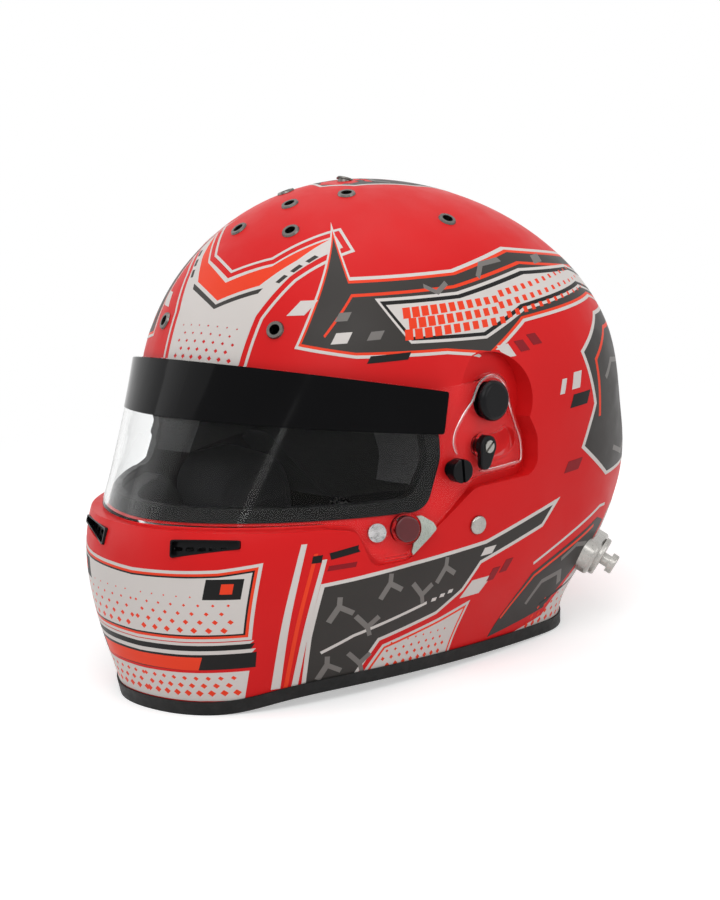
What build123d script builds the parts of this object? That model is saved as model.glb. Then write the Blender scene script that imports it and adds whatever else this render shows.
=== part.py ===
from build123d import *
from math import atan2, cos, degrees, pi, radians, sin
import os

# Full-face motor racing helmet. Millimetres, +Z up, face towards -Y, wearer's left at +X.
# The origin is the middle of the bounding box on the ground.

# Outer form: half width, front reach and rear reach at a few heights
shell_height = 263.5
dome_start = 145.0
crown_y = 13.5
widest_y = 48.0
half_widths = [(0, 92), (25, 102), (55, 117), (90, 124.5), (dome_start, 129.5)]
front_reaches = [(0, 158), (36, 163.5), (71, 164), (101, 156), (dome_start, 110.6)]
rear_reaches = [(0, 106), (22, 111.5), (51, 139.5), (90, 164), (dome_start, 157)]
side_round = 1.92
front_round = 1.89
rear_round = 1.92
jaw_fullness = 2.42
brow_fullness = 2.2
nape_fullness = 2.26
jaw_height = 60.0
brow_height = 150.0

# Lower rim: height of the edge at a few places from chin to nape
rim_heights = [(-152, 0), (-125, 4), (-87, 6), (-17, 3.5), (53, 1), (90, 0)]

# Layers
shell_wall = 3.5
layer_gap = 0.4
liner_thickness = 31.0
chin_liner_thickness = 20.0
comfort_thickness = 9.0
nape_pad_thickness = 20.0
strap_space = 5.0
chin_liner_low = 15.0
nut_thickness = 3.0
gasket_flange = 1.2
gasket_width = 6.0
gasket_lip = 1.5
trim_lip = 1.2
trim_height = 7.5
trim_seat = 1.6

# Visor: flat sides, then half an oval in front that leans back
visor_half_width = 121.5
visor_mid_y = -22.0
visor_fullness = 1.82
visor_low_height = 101.0
visor_low_reach = 156.0
visor_lean = 0.584
visor_thickness = 3.0
visor_gap = 1.6
visor_edge_gap = 2.0
pocket_top_drop = 18.0
pocket_rear_gap = 3.5
strip_thickness = 0.3
strip_edge_gap = 0.4
strip_rear_y = -36.0
strip_low_height = 138.0
strip_low_rise = 0.18

# Visor pivot and what turns about it
pivot_y = -6.5
pivot_z = 150.0
visor_opening = 40.0
pivot_plate_radius = 15.0
pivot_pocket_radius = 26.0
pivot_cap_radius = 11.0
pivot_cap_height = 4.0
pivot_cap_dome = 2.8
pivot_shank_radius = 4.0
pivot_bush_radius = 6.0
pivot_nut_radius = 9.0
running_fit = 0.05
face_gap = 0.3
seat_gap = 0.1
hole_gap = 0.15

# Guide cam in the arc slot of the visor
cam_radius = 24.6
cam_angle = 250.5
cam_hub_radius = 6.0
cam_slot_gap = 0.4
cam_foot_radius = 4.2
cam_foot_reach = 8.4
cam_head_height = 3.0
cam_screw_radius = 3.4
cam_screw_sink = 1.4
cam_thread_radius = 2.15
cam_top_round = 0.9
screw_slot_width = 1.2
screw_slot_depth = 1.2
screw_head_rise = 0.5
slot_rim_width = 1.6
slot_rim_height = 0.8
slot_spare_angle = 1.5

# Tear-off posts
post_y = -36.0
post_z = 118.0
post_radius = 6.4
post_height = 6.6
post_stem_radius = 2.5
post_foot_radius = 4.5
post_foot_height = 0.9
post_foot_drop = 0.2
post_slot_width = 1.6
post_slot_depth = 2.0
post_top_round = 0.7

# Visor lock on the left side
button_y = -68.6
button_z = 92.4
button_radius = 6.9
button_height = 3.0
button_travel = 1.0
button_stem_radius = 3.2
button_ring_width = 1.5
button_ring_height = 2.2
button_foot_height = 0.8
button_foot_radius = 5.0
button_well_depth = 1.6
button_top_round = 1.0
spring_sheet = 0.2
spring_foot_gap = 0.25
spring_bore_gap = 0.4
spring_rim_gap = 0.6
lock_plate_thickness = 1.4
lock_plate_outline = [(5, 5.5), (9.8, 5.5), (16.1, 0.8), (17.8, -2.9), (13, -6.9), (2.6, -14.4), (1.9, -12.8), (4, -7)]
lock_plate_radii = [0, 1.5, 1.5, 1.5, 3, 0, 0, 0]
disc_y = -82.3
disc_z = 92.2
disc_radius = 5.0
disc_thickness = 1.0
magnet_radius = 4.5
magnet_depth = 2.0
lip_reach = 5.0
lip_thickness = 2.2
lip_width = 15.0
lip_y = -76.5
lip_z = 80.4

# Vent eyelets
eyelet_radius = 5.1
eyelet_hole_radius = 3.0
eyelet_barrel_radius = 4.0
eyelet_flange = 1.0
side_eyelets = [(45, -88, 197.5), (21, -48.6, 244), (24.5, -7.5, 259), (71.5, 22, 242)]
centre_eyelets = [(0, -28, 255.5), (0, 16, 263.4)]

# Chin vents
chin_vent_spot = (45, -148, 92.5)
chin_vent_length = 40.0
chin_vent_inner_height = 9.8
chin_vent_outer_height = 4.6
chin_vent_depth = 6.0
chin_vent_wall = 0.9
chin_vent_bars = 6

# Chin strap
strap_y = -22.0
strap_rivet_z = 85.0
rivet_head_radius = 5.2
rivet_shank_radius = 2.5
rivet_head_height = 1.8
rivet_head_round = 1.3
rivet_tail_radius = 4.4
rivet_tail_height = 1.2
strap_width = 22.0
strap_thickness = 2.0
strap_clearance = 0.6
strap_route_heights = (91.0, 74.0, 54.0, 32.0)
strap_trim_height = 16.0
strap_trim_clearance = 2.5
strap_bends = [60, 60, 60, 20, 5]
strap_drop = 3.0
strap_free_length = 20.0
strap_plate_thickness = 1.2
strap_plate_width = 16.0
strap_plate_height = 20.0
strap_low_z = 8.4
strap_turn_x = 60.0
strap_fold_x = 50.0
ring_bar_radius = 1.8
ring_spacing = 4.4
ring_reach = 24.0
ring_width = 31.0
snap_radius = 5.0
snap_height = 1.6
snap_cap_height = 1.4
snap_cap_round = 0.9
snap_stud_radius = 4.0
snap_stud_height = 0.8
ring_corner = 4.0

# Head restraint anchors
anchor_spot = (107, 90, 43)
anchor_plate_length = 38.0
anchor_plate_width = 20.0
anchor_plate_height = 6.0
anchor_plate_sink = 8.0
anchor_plate_corner = 8.0
anchor_plate_round = 2.2
anchor_disc_round = 1.4
anchor_head_round = 1.0
anchor_nut_gap = 0.5
anchor_disc_radius = 11.5
anchor_disc_height = 3.0
anchor_neck_radius = 3.6
anchor_head_radius = 5.8
anchor_neck_length = 4.5
anchor_head_height = 4.0
anchor_screw_radius = 3.0
anchor_nut_radius = 7.0

form_centre = Vector(0, crown_y, 110)
far = 210.0
through_cut = 30.0


def clamp(value, low, high):
    return min(max(value, low), high)


def between(knots, place):
    """Smooth value at a place between knots of (place, value)."""
    place = clamp(place, knots[0][0], knots[-1][0])
    slopes = []
    for i in range(len(knots)):
        before = knots[max(i - 1, 0)]
        after = knots[min(i + 1, len(knots) - 1)]
        slopes.append((after[1] - before[1]) / (after[0] - before[0]))
    slopes[-1] = 0.0
    for (z0, v0), (z1, v1), s0, s1 in zip(knots, knots[1:], slopes, slopes[1:]):
        if place <= z1:
            span = z1 - z0
            t = (place - z0) / span
            ends = v0 * (1 + 2 * t) * (1 - t) ** 2 + v1 * t * t * (3 - 2 * t)
            return ends + span * t * (1 - t) * (s0 * (1 - t) - s1 * t)
    return knots[-1][1]


def level_sizes(height, inset):
    """Half width, front reach, rear reach, widest place and front fullness of one level."""
    top = shell_height - inset
    t = clamp((height - dome_start) / (top - dome_start), 0, 1)
    half = (between(half_widths, height) - inset) * (1 - t**side_round) ** (1 / side_round)
    front = between(front_reaches, height) - inset + crown_y
    front = front * (1 - t**front_round) ** (1 / front_round) - crown_y
    rear = between(rear_reaches, height) - inset - crown_y
    rear = rear * (1 - t**rear_round) ** (1 / rear_round) + crown_y
    mid = widest_y * (1 - t * t) + crown_y * t * t
    blend = clamp((height - jaw_height) / (brow_height - jaw_height), 0, 1)
    fullness = jaw_fullness * (1 - blend) + brow_fullness * blend
    return half, front, rear, mid, fullness


def level_point(height, angle, inset):
    """Point of the form at a height, with the angle 0 at the nape and 180 degrees at the face."""
    half, front, rear, mid, fullness = level_sizes(height, inset)
    along, across = cos(radians(angle)), sin(radians(angle))
    power = fullness if along < 0 else nape_fullness
    reach = -(front + mid) if along < 0 else rear - mid
    x = half * abs(across) ** (2 / power) * (1 if across > 0 else -1)
    return x, mid + reach * abs(along) ** (2 / power)


def outside(point, inset=0.0):
    """Over 1 outside the form, under 1 inside it."""
    half, front, rear, mid, fullness = level_sizes(point.Z, inset)
    if half <= 0 or point.Z >= shell_height - inset:
        return 2.0
    ahead = point.Y < mid
    power = fullness if ahead else nape_fullness
    reach = front + mid if ahead else rear - mid
    return (abs(point.X) / half) ** power + (abs(point.Y - mid) / reach) ** power


def surface_point(target, start=form_centre, inset=0.0):
    """Where the line from the start through the target leaves the form."""
    low, high = 0.2, 2.5
    for _ in range(50):
        middle = (low + high) / 2
        if outside(start + (target - start) * middle, inset) > 1:
            high = middle
        else:
            low = middle
    return start + (target - start) * low


def seat(target, start=form_centre, inset=0.0):
    """Plane that touches the form, its Z outwards and its X level."""
    spot = surface_point(Vector(*target), start, inset)
    step = 0.5
    slope = []
    for way in (Vector(step, 0, 0), Vector(0, step, 0), Vector(0, 0, step)):
        slope.append(outside(spot + way, inset) - outside(spot - way, inset))
    normal = Vector(*slope).normalized()
    level = Vector(0, 0, 1).cross(normal)
    if level.length < 0.05:
        level = Vector(1, 0, 0)
    return Plane(origin=spot, x_dir=level, z_dir=normal)


def form_heights(inset):
    """Levels of the loft: even below the dome, then closing in towards the crown."""
    low = [-12, 6, 25, 45, 65, 85, 105, 125]
    steps = 8
    top = shell_height - inset - dome_start
    return low + [dome_start + top * sin(radians(86 * i / steps)) for i in range(steps + 1)]


def form_solid(inset):
    """The helmet's outer form as a solid, with every wall moved in by the inset."""
    around = 24
    with BuildPart() as form:
        for height in form_heights(inset):
            points = [level_point(height, 360 * i / around, inset) for i in range(around)]
            with BuildSketch(Plane.XY.offset(height)):
                with BuildLine():
                    Spline(*points, periodic=True)
                make_face()
        loft()
    return form.part


def visor_reach(height, inset):
    return visor_low_reach - visor_lean * (height - visor_low_height) - inset * (1 + visor_lean**2) ** 0.5


def visor_point(height, angle, inset):
    """Point of the visor's surface, with the angle 0 straight ahead and 90 on the left."""
    ahead, across = cos(radians(angle)), sin(radians(angle))
    half = visor_half_width - inset
    x = half * abs(across) ** (2 / visor_fullness) * (1 if across > 0 else -1)
    y = visor_mid_y - (visor_reach(height, inset) + visor_mid_y) * abs(ahead) ** (2 / visor_fullness)
    return x, y


def visor_core(inset):
    """Everything behind the visor's surface, moved in by the inset."""
    half = visor_half_width - inset
    with BuildPart() as core:
        for height in (55, 215):
            front = [visor_point(height, angle, inset) for angle in range(-90, 91, 10)]
            with BuildSketch(Plane.XY.offset(height)):
                with BuildLine():
                    Spline(*front, tangents=((0, -1), (0, 1)))
                    Polyline(front[-1], (half, far), (-half, far), front[0])
                make_face()
        loft(ruled=True)
    return core.part


def visor_seat(y, z):
    """Plane on the visor's left side at a side-view place, its Z outwards."""
    angle = 90.0
    while angle > 0 and visor_point(z, angle, 0)[1] > y:
        angle -= 0.05
    x = visor_point(z, angle, 0)[0]
    ahead = Vector(*visor_point(z, angle - 1, 0), z) - Vector(x, y, z)
    up = Vector(*visor_point(z + 1, angle, 0), z + 1) - Vector(*visor_point(z, angle, 0), z)
    normal = up.cross(ahead).normalized()
    if normal.X < 0:
        normal = -normal
    return Plane(origin=Vector(x, y, z), x_dir=Vector(0, 0, 1).cross(normal), z_dir=normal)


def drop_to(solid, plane, radius=0.0):
    """How far a symmetric solid's surface lies below a plane, at most, within a radius."""
    deepest = 0.0
    for i in range(9):
        away = radius if i else 0
        spot = plane.origin + plane.x_dir * away * cos(pi * i / 4) + plane.y_dir * away * sin(pi * i / 4)
        above = spot + plane.z_dir * 6
        below = spot - plane.z_dir * 20
        start = Vector(-above.X, above.Y, above.Z)
        line = Edge.make_line(start, Vector(-below.X, below.Y, below.Z))
        depths = [(corner.center() - start).length - 6 for corner in (line & solid).vertices()]
        deepest = max(deepest, min(depths))
    return deepest


def visor_top(y, drop=0.0):
    return 160.6 - drop + 0.292 * (-37 - y)


def visor_bottom(y, rise=0.0):
    return 99.0 + rise - 0.045 * (83 + y)


def rim_curve(rise):
    """Side view of the lower edge, raised by some amount."""
    places = [(y, z + rise) for y, z in rim_heights]
    return Spline(*places, tangents=((1, 0), (1, 0)))


def side_region(points, radii):
    """A side-view outline carried right across the helmet."""
    with BuildPart() as region:
        with BuildSketch(Plane.YZ.offset(-far)):
            with BuildLine():
                FilletPolyline(*points, radius=radii, close=True)
            make_face()
        extrude(amount=2 * far)
    return region.part


def above_rim(rise, top):
    """Everything between the lower edge, raised, and a height."""
    with BuildPart() as region:
        with BuildSketch(Plane.YZ.offset(-far)):
            with BuildLine():
                edge = rim_curve(rise)
                Polyline(edge @ 1, (far, rim_heights[-1][1] + rise), (far, top), (-far, top),
                         (-far, rim_heights[0][1] + rise), edge @ 0)
            make_face()
        extrude(amount=2 * far)
    return region.part


def below_rim(rise):
    """Everything under the lower edge, raised."""
    return above_rim(rise, -40)


def visor_outline(grow, lock, top_drop=0.0, round_radius=pivot_plate_radius, rear_gap=0.0):
    """The visor from its side, grown all round, with or without the lock's tab, on the right."""
    rear = pivot_y + 22.5 + grow + rear_gap
    low = 110.5 - grow - rear_gap
    tab = [
        (-50.5 + grow, 91 - grow),
        (-66, 76.6 - grow),
        (-84 - grow, 76.6 - grow),
        (-91 - grow, 97 - grow),
    ]
    arm = tab if lock else [(-47, 97.5 - grow)]
    arm_radii = [4, 5, 7, 5] if lock else [16]
    points = [
        (-far, visor_top(-far, top_drop - grow)),
        (-42, visor_top(-42, top_drop - grow)),
        (pivot_y, pivot_z + 12.5 - top_drop + grow),
        (pivot_y + 14 + grow, pivot_z + grow),
        (rear, 126),
        (rear, low),
        (-24 + grow * 0.5, low + 1),
        *arm,
        (-104 - grow, visor_bottom(-104, -grow)),
        (-far, visor_bottom(-far, -grow)),
    ]
    radii = [0, 20, 4, 8, 12, 9, 14] + arm_radii + [9, 0]
    with BuildPart() as region:
        with BuildSketch(Plane.YZ.offset(-far)):
            with BuildLine():
                FilletPolyline(*points, radius=radii, close=True)
            make_face()
            with Locations((pivot_y, pivot_z)):
                Circle(round_radius + grow)
        extrude(amount=far)
    return region.part


def pocket(floor_gap, grow):
    """The two halves of the recess that the closed visor lies in."""
    core = visor_core(visor_thickness + floor_gap)
    round_radius = pivot_pocket_radius - visor_edge_gap
    halves = []
    for lock in (True, False):
        with BuildPart() as half:
            add(visor_outline(grow, lock, pocket_top_drop, round_radius, pocket_rear_gap))
            add(core, mode=Mode.SUBTRACT)
        halves.append(half.part)
    return [mirror(halves[0], about=Plane.YZ), halves[1]]


def visor_space(gap):
    """The two halves of the room that the closed visor takes, with a gap all round."""
    core = visor_core(visor_thickness + gap)
    halves = []
    for lock in (True, False):
        with BuildPart() as half:
            add(visor_outline(gap, lock))
            add(core, mode=Mode.SUBTRACT)
        halves.append(half.part)
    return [mirror(halves[0], about=Plane.YZ), halves[1]]


def helmet_body(inset, floor_gap, grow):
    """The form with the visor's recess pressed into it."""
    with BuildPart() as body:
        add(form_solid(inset))
        add(pocket(floor_gap, grow), mode=Mode.SUBTRACT)
    return body.part


def eyeport(shrink):
    """The face opening, made smaller all round by the given amount."""
    points = [
        (-far, visor_top(-far, 11 + shrink)),
        (-46 - shrink, visor_top(-46, 11 + shrink)),
        (-48 - shrink, 125),
        (-59 - shrink, visor_bottom(-59, 7 + shrink)),
        (-far, visor_bottom(-far, 7 + shrink)),
    ]
    return side_region(points, [0, 14, 20, 12, 0])


def cylinder_on(plane, radius, low, high):
    """A round bar along a plane's Z, from one height to another."""
    with BuildPart() as bar:
        with BuildSketch(plane.offset(low)):
            Circle(radius)
        extrude(amount=high - low)
    return bar.part


os.makedirs("parts", exist_ok=True)


def keep(piece, name):
    """Label one finished piece and write it out."""
    piece.label = name
    export_step(piece, f"parts/{name}.step")


def both_sides(solid):
    """The left-hand piece and its mirror image on the right."""
    return [solid, mirror(solid, about=Plane.YZ)]


def side_bar(y, z, radius, low, high):
    """A round bar along X at a side-view place."""
    with BuildPart() as bar:
        with BuildSketch(Plane.YZ.offset(low)):
            with Locations((y, z)):
                Circle(radius)
        extrude(amount=high - low)
    return bar.part


# Places used by several pieces
eyelet_seats = [seat(spot) for spot in centre_eyelets]
for x, y, z in side_eyelets:
    eyelet_seats += [seat((x, y, z)), seat((-x, y, z))]
chin_vent_seat = seat(chin_vent_spot, Vector(30, -90, 92.5))
strap_seat = seat((119, strap_y, strap_rivet_z), Vector(0, strap_y, strap_rivet_z))
anchor_seat = seat(anchor_spot, Vector(0, 30, 60))
visor_inner_x = visor_half_width - visor_thickness
pocket_floor_x = visor_inner_x - visor_gap
wall_inner_x = pocket_floor_x - shell_wall
cam_y = pivot_y + cam_radius * cos(radians(cam_angle))
cam_z = pivot_z + cam_radius * sin(radians(cam_angle))
visor_outer = visor_core(0)
visor_inner = visor_core(visor_thickness)
visor_floor = visor_core(visor_thickness + visor_gap)
visor_seats = []
for y, z in ((post_y, post_z), (button_y, button_z), (disc_y, disc_z), (lip_y, lip_z)):
    place = visor_seat(y, z)
    visor_seats.append(place.offset(-drop_to(visor_outer, place)))
post_plane, button_plane, disc_plane, lip_plane = visor_seats
post_inner = drop_to(visor_inner, post_plane, post_foot_radius)
button_inner = drop_to(visor_inner, button_plane, button_foot_radius)
button_floor = drop_to(visor_floor, button_plane, button_foot_radius)
disc_inner = drop_to(visor_inner, disc_plane)
magnet_floor = drop_to(visor_floor, disc_plane, magnet_radius)

outer_body = helmet_body(0, visor_gap, visor_edge_gap)
inner_body = helmet_body(shell_wall, visor_gap + shell_wall, visor_edge_gap + shell_wall)


def chin_vent_wedge(grow, low, high):
    """The wedge-shaped slot of one chin vent, through the shell's wall."""
    half = chin_vent_length / 2 + grow
    inner = chin_vent_inner_height / 2 + grow
    outer = chin_vent_outer_height / 2 + grow
    lift = inner - outer
    points = [(-half, -inner), (half, lift - outer), (half, inner), (-half, inner)]
    with BuildPart() as wedge:
        with BuildSketch(chin_vent_seat.offset(low)):
            with BuildLine():
                FilletPolyline(*points, radius=[1.2, 1.2, 1.2, 1.2], close=True)
            make_face()
        extrude(amount=high - low)
    return wedge.part


# The outer shell, with its face opening, vents and mounting holes
shell_holes = [cylinder_on(place, eyelet_barrel_radius + hole_gap, -14, 6) for place in eyelet_seats]
shell_holes += both_sides(chin_vent_wedge(0, -14, 8))
shell_holes += both_sides(cylinder_on(strap_seat, rivet_shank_radius + hole_gap, -10, 6))
shell_holes += both_sides(cylinder_on(anchor_seat, anchor_screw_radius + hole_gap, -10, 6))
shell_holes += both_sides(side_bar(pivot_y, pivot_z, pivot_bush_radius, 100, 125))
shell_holes += both_sides(side_bar(cam_y, cam_z, cam_thread_radius + running_fit, 100, 125))
magnet_well = cylinder_on(disc_plane, magnet_radius + hole_gap, -magnet_floor - magnet_depth, 4)
shell_holes.append(magnet_well)
button_well = cylinder_on(button_plane, button_foot_radius + 1, -button_floor - button_well_depth, 4)
shell_holes.append(button_well)

with BuildPart() as outer_shell:
    add(outer_body)
    add(inner_body, mode=Mode.SUBTRACT)
    add(eyeport(0), mode=Mode.SUBTRACT)
    add(above_rim(trim_seat, shell_height + 5), mode=Mode.INTERSECT)
    add(shell_holes, mode=Mode.SUBTRACT)
keep(outer_shell.part, "outer_shell")


# Rubber gasket round the face opening, under the closed visor
with BuildPart() as eyeport_gasket:
    add(eyeport(-gasket_width))
    add(eyeport(gasket_lip), mode=Mode.SUBTRACT)
    add(form_solid(-gasket_flange), mode=Mode.INTERSECT)
    add(pocket(visor_gap - gasket_flange, visor_edge_gap), mode=Mode.SUBTRACT)
    add(inner_body, mode=Mode.SUBTRACT)
    add(outer_shell.part, mode=Mode.SUBTRACT)
    add(visor_space(face_gap), mode=Mode.SUBTRACT)
keep(eyeport_gasket.part, "eyeport_gasket")

# Rubber trim over the lower edge
with BuildPart() as base_edge_trim:
    add(form_solid(-trim_lip))
    add(form_solid(shell_wall + trim_lip), mode=Mode.SUBTRACT)
    add(below_rim(trim_height), mode=Mode.INTERSECT)
    add(above_rim(0, 60), mode=Mode.INTERSECT)
    add(outer_shell.part, mode=Mode.SUBTRACT)
keep(base_edge_trim.part, "base_edge_trim")

# Impact liner under the crown, bonded to the shell
liner_cuts = [cylinder_on(place, eyelet_barrel_radius + 1, -60, 6) for place in eyelet_seats]
liner_cuts += both_sides(side_bar(pivot_y, pivot_z, pivot_nut_radius + 1, wall_inner_x - nut_thickness - 1, far))
liner_cuts += both_sides(side_bar(cam_y, cam_z, cam_screw_radius + 1, wall_inner_x - nut_thickness - 1, far))
liner_cuts += both_sides(cylinder_on(anchor_seat, anchor_nut_radius + 1, -shell_wall - nut_thickness - 2, 4))
crown_liner_profile = [
    (far, 62),
    (62, 58),
    (20, 112),
    (-far, 112),
    (-far, shell_height + 10),
    (far, shell_height + 10),
]
with BuildPart() as crown_liner:
    add(inner_body)
    add(form_solid(shell_wall + liner_thickness), mode=Mode.SUBTRACT)
    add(side_region(crown_liner_profile, [0, 20, 25, 0, 0, 0]), mode=Mode.INTERSECT)
    add(eyeport(-1.5), mode=Mode.SUBTRACT)
    add(liner_cuts, mode=Mode.SUBTRACT)
keep(crown_liner.part, "crown_liner")

# Impact liner behind the chin bar
chin_liner_profile = [
    (-far, chin_liner_low),
    (-50, chin_liner_low),
    (-50, 84),
    (-64, visor_bottom(-64, 3)),
    (-far, visor_bottom(-far, 3)),
]
with BuildPart() as chin_bar_liner:
    add(inner_body)
    add(form_solid(shell_wall + chin_liner_thickness), mode=Mode.SUBTRACT)
    add(side_region(chin_liner_profile, [0, 5, 8, 8, 0]), mode=Mode.INTERSECT)
    add(both_sides(chin_vent_wedge(1.5, -40, -2)), mode=Mode.SUBTRACT)
keep(chin_bar_liner.part, "chin_bar_liner")

# Comfort lining inside the crown liner
comfort_profile = [
    (far, 128),
    (52, 122),
    (-40, 150),
    (-far, 186),
    (-far, shell_height),
    (far, shell_height),
]
with BuildPart() as crown_comfort_lining:
    add(form_solid(shell_wall + liner_thickness + layer_gap))
    add(form_solid(shell_wall + liner_thickness + comfort_thickness), mode=Mode.SUBTRACT)
    add(side_region(comfort_profile, [0, 25, 25, 0, 0, 0]), mode=Mode.INTERSECT)
keep(crown_comfort_lining.part, "crown_comfort_lining")

# Padded roll round the nape
nape_profile = [(34, 14), (far, 14), (far, 50), (34, 50)]
with BuildPart() as nape_pad:
    add(form_solid(shell_wall + layer_gap))
    add(form_solid(shell_wall + nape_pad_thickness), mode=Mode.SUBTRACT)
    add(side_region(nape_profile, [10, 0, 0, 14]), mode=Mode.INTERSECT)
    add(both_sides(cylinder_on(anchor_seat, anchor_nut_radius + 1, -shell_wall - nut_thickness - 2, 4)),
        mode=Mode.SUBTRACT)
keep(nape_pad.part, "nape_pad")

# Cheek pads, crowned towards the face
cheek_steps = [(62, 30, 40, 12), (66, 54, 66, 20), (74, 66, 80, 22), (112, 70, 86, 22)]
cheek_mid_y = -10.0
cheek_mid_z = 62.0
with BuildPart() as cheek_pad_left:
    for out, deep, tall, corner in cheek_steps:
        with BuildSketch(Plane.YZ.offset(out)):
            with Locations((cheek_mid_y, cheek_mid_z)):
                RectangleRounded(deep, tall, corner)
    loft(ruled=True)
    add(form_solid(shell_wall + strap_space), mode=Mode.INTERSECT)
    add(side_bar(strap_y, strap_rivet_z, 9, wall_inner_x - strap_space - 3, far), mode=Mode.SUBTRACT)
keep(cheek_pad_left.part, "cheek_pad_left")
cheek_pad_right = mirror(cheek_pad_left.part, about=Plane.YZ)
keep(cheek_pad_right, "cheek_pad_right")

# Metal eyelets in the crown vents
eyelets = []
for place in eyelet_seats:
    with BuildPart() as eyelet:
        with BuildSketch(place.offset(0.05)):
            Circle(eyelet_radius)
        extrude(amount=eyelet_flange, taper=25)
        with BuildSketch(place.offset(0.05)):
            Circle(eyelet_barrel_radius)
        extrude(amount=-shell_wall - 2)
        with BuildSketch(place.offset(eyelet_flange + 1)):
            Circle(eyelet_hole_radius)
        extrude(amount=-shell_wall - 6, mode=Mode.SUBTRACT)
    eyelets.append(eyelet.part)
with BuildPart() as vent_eyelets:
    add(eyelets)
    add(outer_shell.part, mode=Mode.SUBTRACT)
keep(Compound(vent_eyelets.part.solids()), "vent_eyelets")

# Grilles seated in the chin vents
for side, name in ((1, "left"), (-1, "right")):
    with BuildPart() as chin_vent_grille:
        add(chin_vent_wedge(-hole_gap, -chin_vent_depth, -1.0))
        add(chin_vent_wedge(-chin_vent_wall, -chin_vent_depth + 1.2, 1.0), mode=Mode.SUBTRACT)
        pitch = chin_vent_length / chin_vent_bars
        with BuildSketch(chin_vent_seat.offset(-chin_vent_depth)):
            with GridLocations(pitch, 1, chin_vent_bars, 1):
                SlotOverall(pitch - 1.6, 2.2)
        extrude(amount=1.2, mode=Mode.SUBTRACT)
        if side < 0:
            mirror(about=Plane.YZ, mode=Mode.REPLACE)
    keep(chin_vent_grille.part, f"chin_vent_grille_{name}")


def visor_half(lock, low, high):
    """One side of a sheet along the visor's form: the left with the lock's tab, or the right."""
    with BuildPart() as half:
        add(visor_outline(0, lock))
        add(visor_core(-high), mode=Mode.INTERSECT)
        add(visor_core(-low), mode=Mode.SUBTRACT)
        if lock:
            mirror(about=Plane.YZ, mode=Mode.REPLACE)
    return half.part


# Clear visor with flat side plates, and the lock's tab on the left
visor_sheet = [visor_half(lock, -visor_thickness, 0) for lock in (True, False)]
slot_width = 2 * (cam_hub_radius + cam_slot_gap)
slot_turn = visor_opening + 2 * slot_spare_angle
slot_path = CenterArc((pivot_y, pivot_z), cam_radius, cam_angle - slot_spare_angle, slot_turn)
with BuildPart() as visor_shield:
    add(visor_sheet)
    for out in (visor_half_width - 0.5, -visor_half_width - slot_rim_height):
        with BuildSketch(Plane.YZ.offset(out)):
            SlotArc(slot_path, slot_width + 2 * slot_rim_width)
        extrude(amount=slot_rim_height + 0.5)
    with BuildSketch(Plane.YZ.offset(-far)):
        SlotArc(slot_path, slot_width)
        with Locations((pivot_y, pivot_z)):
            Circle(pivot_bush_radius + running_fit)
    extrude(amount=2 * far, mode=Mode.SUBTRACT)
    add(both_sides(cylinder_on(post_plane, post_stem_radius + running_fit, -8, 4)), mode=Mode.SUBTRACT)
    with BuildSketch(button_plane.offset(-10)):
        Circle(button_stem_radius + running_fit)
    extrude(amount=20, mode=Mode.SUBTRACT)
    with BuildSketch(disc_plane.offset(-disc_inner - 5)):
        Circle(disc_radius)
    extrude(amount=5 + disc_thickness, mode=Mode.SUBTRACT)
    with BuildSketch(button_plane.offset(-visor_thickness / 2)):
        Circle(button_radius + hole_gap + button_ring_width)
        Circle(button_radius + hole_gap, mode=Mode.SUBTRACT)
    extrude(amount=visor_thickness / 2 + button_ring_height)
    with BuildSketch(lip_plane.offset(-visor_thickness / 2)):
        RectangleRounded(lip_width, lip_thickness, 0.4 * lip_thickness)
    extrude(amount=visor_thickness / 2 + lip_reach)
keep(visor_shield.part, "visor_shield")

# Dark sun strip along the top of the visor
strip_profile = [
    (-far, visor_top(-far, strip_edge_gap)),
    (strip_rear_y, visor_top(strip_rear_y, strip_edge_gap)),
    (strip_rear_y - 5, strip_low_height),
    (-far, strip_low_height + strip_low_rise * (strip_rear_y - 5 + far)),
]
with BuildPart() as strip_half:
    with BuildSketch(Plane.YZ.offset(-far)):
        with BuildLine():
            FilletPolyline(*strip_profile, radius=[0, 1.5, 1.5, 0], close=True)
        make_face()
    extrude(amount=far)
    add(visor_core(-strip_thickness), mode=Mode.INTERSECT)
    add(visor_core(0), mode=Mode.SUBTRACT)
with BuildPart() as sun_strip:
    add(both_sides(strip_half.part))
keep(sun_strip.part, "sun_strip")

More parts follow.
